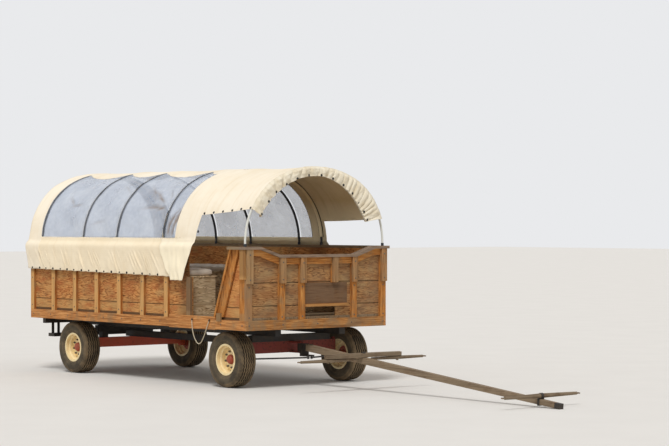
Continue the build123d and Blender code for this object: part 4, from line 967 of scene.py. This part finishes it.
profile, hollow, rubbed = tyreProfile()
nutProfile = [(0.0001, 0.028), (0.007, 0.028), (0.007, 0.019), (0.0145, 0.018), (0.0155, 0.015), (0.0155, -0.002)]
hubCap = [(0.0001, 0.053), (0.022, 0.051), (0.042, 0.044), (0.056, 0.033), (0.064, 0.018), (0.067, 0.0)]
valveLine = [(0.0001, 0.030), (0.003, 0.030), (0.0035, 0.022), (0.0045, 0.021), (0.0045, 0.0)]
wheelFace = {"out": 0.016, "nuts": 8, "nutRing": 0.110, "nutTurn": 0.2, "valve": (0.020, 0.020, -0.150)}
for corner, side in (("rr", -1), ("rl", 1), ("fr", -1), ("fl", 1)):
    low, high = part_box(f"tyre_{corner}")
    centre = np.array((low + high) / 2)
    body = f"wheel_{corner}"
    grid = turnGrid(profile, tyreShape["segments"])
    # the grooves run to and fro across the tread, fading out at the shoulders
    turn = np.linspace(0, tyreShape["zigzags"], tyreShape["segments"], endpoint=False)[:, None]
    sway = 2 * np.abs(2 * (turn % 1) - 1) - 1
    inner = easeStep(profile[:, 0], 0.360, 0.366) * easeStep(-np.abs(profile[:, 1]), -0.105, -0.085)
    grid[..., 1] = side * (grid[..., 1] + tyreShape["zigzag"] * sway * inner[None, :])
    tyre = joinGrids(f"tyreRibbed_{corner}", [grid + centre], ["tyre"], None, True, True, side < 0)
    addValues(tyre, "hollow", np.broadcast_to(hollow, grid.shape[:2]))
    addValues(tyre, "rubbed", np.broadcast_to(rubbed, grid.shape[:2]))
    mount(tyre, f"tyre_{corner}", body)
    turn = ringTurns(wheelFace["nuts"]) + wheelFace["nutTurn"]
    ring = wheelFace["nutRing"]
    face = centre + [0, side * wheelFace["out"], 0]
    spots = face + stacked(ring * np.cos(turn), 0, ring * np.sin(turn))
    foot = centre + np.array(wheelFace["valve"]) * [1, side, 1]
    for name, line, sides, places, look, slot in (
            ("wheelNuts", nutProfile, 6, spots, "boltSteel", "black_steel"),
            ("hubDome", hubCap, 40, [face], "hubPaint", "red_paint"),
            ("tyreValve", valveLine, 10, [foot], "blackSteel", "black_steel")):
        mount(stampCopies(f"{name}_{corner}", line, sides, places, (0, side, 0), look, sides > 6), None, body)
print("wheels dressed")


# Snaps along the canvas edges, large and small by turns

snapProfile = np.array([(0.0001, 0.008), (0.5, 0.0075), (0.85, 0.0055), (1.0, 0.002), (1.0, -0.003)])
snapShape = {"in": 0.020, "proud": 0.002, "large": 0.0175, "small": 0.0125, "ruffle": 13, "ruffleFace": 0.88}
snapIn = snapShape["in"]
skirtD = np.arange(1.99, 5.36, skirtEdge["snapStep"])
rightD, leftD = np.linspace(0.06, 1.06, 6), np.linspace(0.06, 1.24, 7)
rightEdge = np.interp(rightD, [0, 1.075], [2.402, 2.330])
leftEdge = np.interp(leftD, [0, 1.29], [2.270, 2.240])
snapD = np.concatenate([skirtD, skirtD, rightD, leftD, [1.10]])
snapT = np.concatenate([snapIn - skirtT(skirtD), skirtT(skirtD) - snapIn, snapIn - tAtZ(rightEdge),
                        tAtZ(leftEdge) - snapIn, [-float(tAtZ(2.10))]])
snapLift = clothLift(snapD, snapT) + snapShape["proud"]
snapSpots = onCloth(snapD, snapT, snapLift)
snapNormals = onCloth(snapD, snapT, snapLift + 0.01) - snapSpots
ruffleT = np.linspace(tRight + 0.03, tLeft - 0.04, snapShape["ruffle"])
ruffleSnaps = ruffleSpot(ruffleT, np.full(len(ruffleT), snapShape["ruffleFace"]), 0.0, 0.001)
spots = np.vstack([snapSpots, ruffleSnaps])
normals = np.vstack([snapNormals, np.broadcast_to([1.0, 0, 0], ruffleSnaps.shape)])
large = (np.arange(len(spots)) % 2 == 0) | (np.arange(len(spots)) >= 2 * len(skirtD))
for word, pick in (("Large", large), ("Small", ~large)):
    line = snapProfile * [snapShape[word.lower()], 1.0]
    mount(stampCopies("snaps" + word, line, 12, spots[pick], normals[pick], "snapMetal"))
print("snaps set", len(spots))


# Cushions: closed pads, swollen by a cloth simulation and held to the room that they have

padShape = {"segments": 40, "corner": 0.16, "ring": 0.13, "smaller": 0.008, "lower": 0.020, "voxel": 0.020,
            "pressure": 4.0, "frames": 20, "most": 0.021, "crease": 0.004}
padRow = {"low": 1.4903, "high": 1.595, "inner": 0.7248, "outer": 1.1632, "gap": 0.012, "starts": (1.350, 0.980),
          "end": boxLong - 0.038 - 0.018}


def padGrid(low, high):
    # a box rounded by powers: cosine and sine of both angles raised to a small power
    low, high = low + [0, 0, 0.0005], high - [0, 0, padShape["lower"]]
    middle, half = (low + high) / 2, (high - low) / 2 - np.array([padShape["smaller"], padShape["smaller"], 0])
    u = ringTurns(padShape["segments"] * 2)[:, None]
    v = np.linspace(-np.pi / 2 + 0.02, np.pi / 2 - 0.02, padShape["segments"])[None, :]
    ring = np.cos(v) ** padShape["ring"]
    x, y = [np.sign(c) * np.abs(c) ** padShape["corner"] * ring for c in (np.cos(u), np.sin(u))]
    z = np.sign(np.sin(v)) * np.abs(np.sin(v)) ** 0.4
    return middle + stacked(x, y, z) * half


def swellPads(pads):
    # even voxels, then cloth under pressure with no gravity, all pads side by side; returns how each point moved
    scene = bpy.context.scene
    for pad in pads:
        voxels = pad.modifiers.new("voxels", "REMESH")
        voxels.mode = "VOXEL"
        voxels.voxel_size = padShape["voxel"]
    graph = bpy.context.evaluated_depsgraph_get()
    for pad in pads:
        even = bpy.data.meshes.new_from_object(pad.evaluated_get(graph))
        pad.modifiers.clear()
        pad.data = even
        cloth = pad.modifiers.new("foam", "CLOTH")
        cloth.settings.use_pressure = True
        cloth.settings.uniform_pressure_force = padShape["pressure"]
        cloth.settings.effector_weights.gravity = 0
        cloth.point_cache.frame_start = 1
        cloth.point_cache.frame_end = padShape["frames"]
    for frameNumber in range(1, padShape["frames"] + 1):
        scene.frame_set(frameNumber)
    graph = bpy.context.evaluated_depsgraph_get()
    moves = []
    for pad in pads:
        soft = bpy.data.meshes.new_from_object(pad.evaluated_get(graph))
        moves.append(meshPoints(soft) - meshPoints(pad.data))
        pad.modifiers.clear()
    scene.frame_set(1)
    return moves


padBoxes = []
for side, start in zip((-1, 1), padRow["starts"]):
    pitch = (padRow["end"] - start + padRow["gap"]) / 4
    y = sorted((side * padRow["inner"], side * padRow["outer"]))
    padBoxes += [((frontX - start - pitch * (i + 1) + padRow["gap"], y[0], padRow["low"]),
                  (frontX - start - pitch * i, y[1], padRow["high"])) for i in range(4)]
padBoxes = np.array(padBoxes + [((frontX - 0.92, -0.350, 1.5903), (frontX - 0.52, 1.1632, 1.675))])
pads = []
for i, (low, high) in enumerate(padBoxes):
    points = padGrid(low, high)
    rows, columns = points.shape[:2]
    # both ends of the grid close on one wide face
    ends = np.arange(rows) * columns
    faces = gridFaces(rows, columns, closeRows=True, flip=True).tolist()
    faces += [ends.tolist(), (ends + columns - 1)[::-1].tolist()]
    pads.append(makeMesh(f"seatPad_{i + 1}", points, faces, ["cushion"]))
padMoves = swellPads(pads)
for i, (pad, move, (low, high)) in enumerate(zip(pads, padMoves, padBoxes)):
    # a point that the cloth moved far keeps almost the whole cap, one near a corner much less
    far = np.linalg.norm(move, axis=1)[:, None]
    kept = padShape["most"] * (1 - np.exp(-far / (0.4 * far.max() + 1e-6)))
    points = meshPoints(pad.data) + move * kept / np.maximum(far, 1e-6)
    upper = points[:, 2] > (low[2] + high[2]) / 2
    points[:, 2] += padShape["crease"] * softNoise(points[:, 0], points[:, 1], 0.24, 50 + i) * upper
    pad.data.vertices.foreach_set("co", np.clip(points, low, high).ravel())
    pad.data.materials.clear()
    pad.data.materials.append(finish["cushion"])
    pad.data.polygons.foreach_set("use_smooth", np.full(len(pad.data.polygons), True))
    pad.data.update()
    smooth = pad.modifiers.new("smooth", "SUBSURF")
    smooth.levels = smooth.render_levels = 1
    mount(pad, "cushions")
print("pads laid", len(pads), "with", len(pads[0].data.vertices), "points each, swollen by up to",
      round(float(max(np.linalg.norm(m, axis=1).max() for m in padMoves)), 4))


# Short board over the upper part of the corner post, its edges eased

cornerBoard = {"d": (0.0, 0.112), "y": (-1.2485, -1.2205), "z": (1.467, 1.860), "ease": 0.003}
x, y, z = np.meshgrid([frontX - v for v in cornerBoard["d"]], cornerBoard["y"], cornerBoard["z"], indexing="ij")
boardFaces = [(0, 1, 3, 2), (4, 6, 7, 5), (0, 4, 5, 1), (2, 3, 7, 6), (0, 2, 6, 4), (1, 5, 7, 3)]
board = mount(makeMesh("cornerBoard", stacked(x, y, z), boardFaces, ["stakes"], smooth=False))
board.data.flip_normals()
ease = board.modifiers.new("eased", "BEVEL")
ease.width, ease.segments = cornerBoard["ease"], 2


# Bolts through the stakes, cleats, sills and cap: (x, y, z) and the way each head faces

boltHead = [(0.0001, 0.0045), (0.005, 0.0042), (0.009, 0.0028), (0.011, 0.0), (0.011, -0.002)]
boltRows = {"stakeFirst": 1.88, "stakes": 7, "stakeMiddle": 0.0445, "sideY": 1.220, "sillZ": 0.855,
            "stakeZ": (0.985, 1.395), "frontStakes": ((-1.17, 1.83), (-0.615, 1.73), (-0.265, 1.72), (0.645, 1.73),
                                                      (1.17, 1.83))}
stakePitch = (boxLong - boltRows["stakeFirst"]) / (boltRows["stakes"] - 1)
boltSpots, boltNormals = [], []
for side in (-1, 1):
    # the left side has two more stakes where the right one has its door, and one at the front
    stakeD = [boltRows["stakeFirst"] + stakePitch * i - boltRows["stakeMiddle"]
              for i in range(0 if side < 0 else -2, boltRows["stakes"])] + [0.0825] * (side > 0)
    boltSpots += [(frontX - d, side * boltRows["sideY"], z) for d in stakeD for z in boltRows["stakeZ"]]
    sillD = [d for d in np.linspace(0.09, 5.28, 12) if side > 0 or not 0.66 < d < 1.78]
    boltSpots += [(frontX - d, side * boltRows["sideY"], boltRows["sillZ"]) for d in sillD]
    boltNormals += [(0, side, 0)] * (len(boltSpots) - len(boltNormals))
for y, top in boltRows["frontStakes"]:
    # the upper two go through the cleats and the cap as well, 30 mm further out
    boltSpots += [(frontX + out, y, z) for z, out in ((0.96, 0.0), (1.36, 0.0), (1.46, 0.030), (top - 0.04, 0.030))]
boltSpots += [(frontX, y, boltRows["sillZ"]) for y in (-1.17, -0.6, 0.0, 0.6, 1.17)]
boltNormals += [(1, 0, 0)] * (len(boltSpots) - len(boltNormals))
mount(stampCopies("carriageBolts", boltHead, 10, boltSpots, boltNormals, "boltSteel"))
print("bolts set", len(boltSpots))


# Floor, sky and lamps

stageLook = {"half": 120.0, "skyStrength": 0.64, "sky": "#f4f2f0", "backdrop": "#e9eaec", "sunStrength": 1.75,
             "sunAngle": 16, "sunFrom": (0.55, -0.65, 1.25)}
edge = stageLook["half"]
makeMesh("floor", [(-edge, -edge, 0), (edge, -edge, 0), (edge, edge, 0), (-edge, edge, 0)],
                  [(0, 1, 2, 3)], ["floor"])
world = bpy.data.worlds.new("sky")
bpy.context.scene.world = world
world.use_nodes = True
sky = world.node_tree
sky.nodes.clear()
rays = addNode(sky, "LightPath").node.outputs
seen = addNode(sky, "Math", rays["Is Camera Ray"], rays["Is Glossy Ray"], operation="MAXIMUM")
seen = addNode(sky, "Math", seen, rays["Is Transmission Ray"], operation="MAXIMUM")
soft = addNode(sky, "Background", linear(stageLook["sky"]), stageLook["skyStrength"])
plain = addNode(sky, "Background", linear(stageLook["backdrop"]), 1.0)
addNode(sky, "OutputWorld", addNode(sky, "MixShader", seen, soft, plain))
sunData = bpy.data.lights.new("softSun", "SUN")
sunData.energy, sunData.angle = stageLook["sunStrength"], math.radians(stageLook["sunAngle"])
sun = bpy.data.objects.new("softSun", sunData)
sun.matrix_world = Vector(stageLook["sunFrom"]).to_track_quat("Z", "Y").to_matrix().to_4x4()
bpy.context.scene.collection.objects.link(sun)
bpy.context.scene.view_settings.view_transform = "Standard"
print("stage lit")
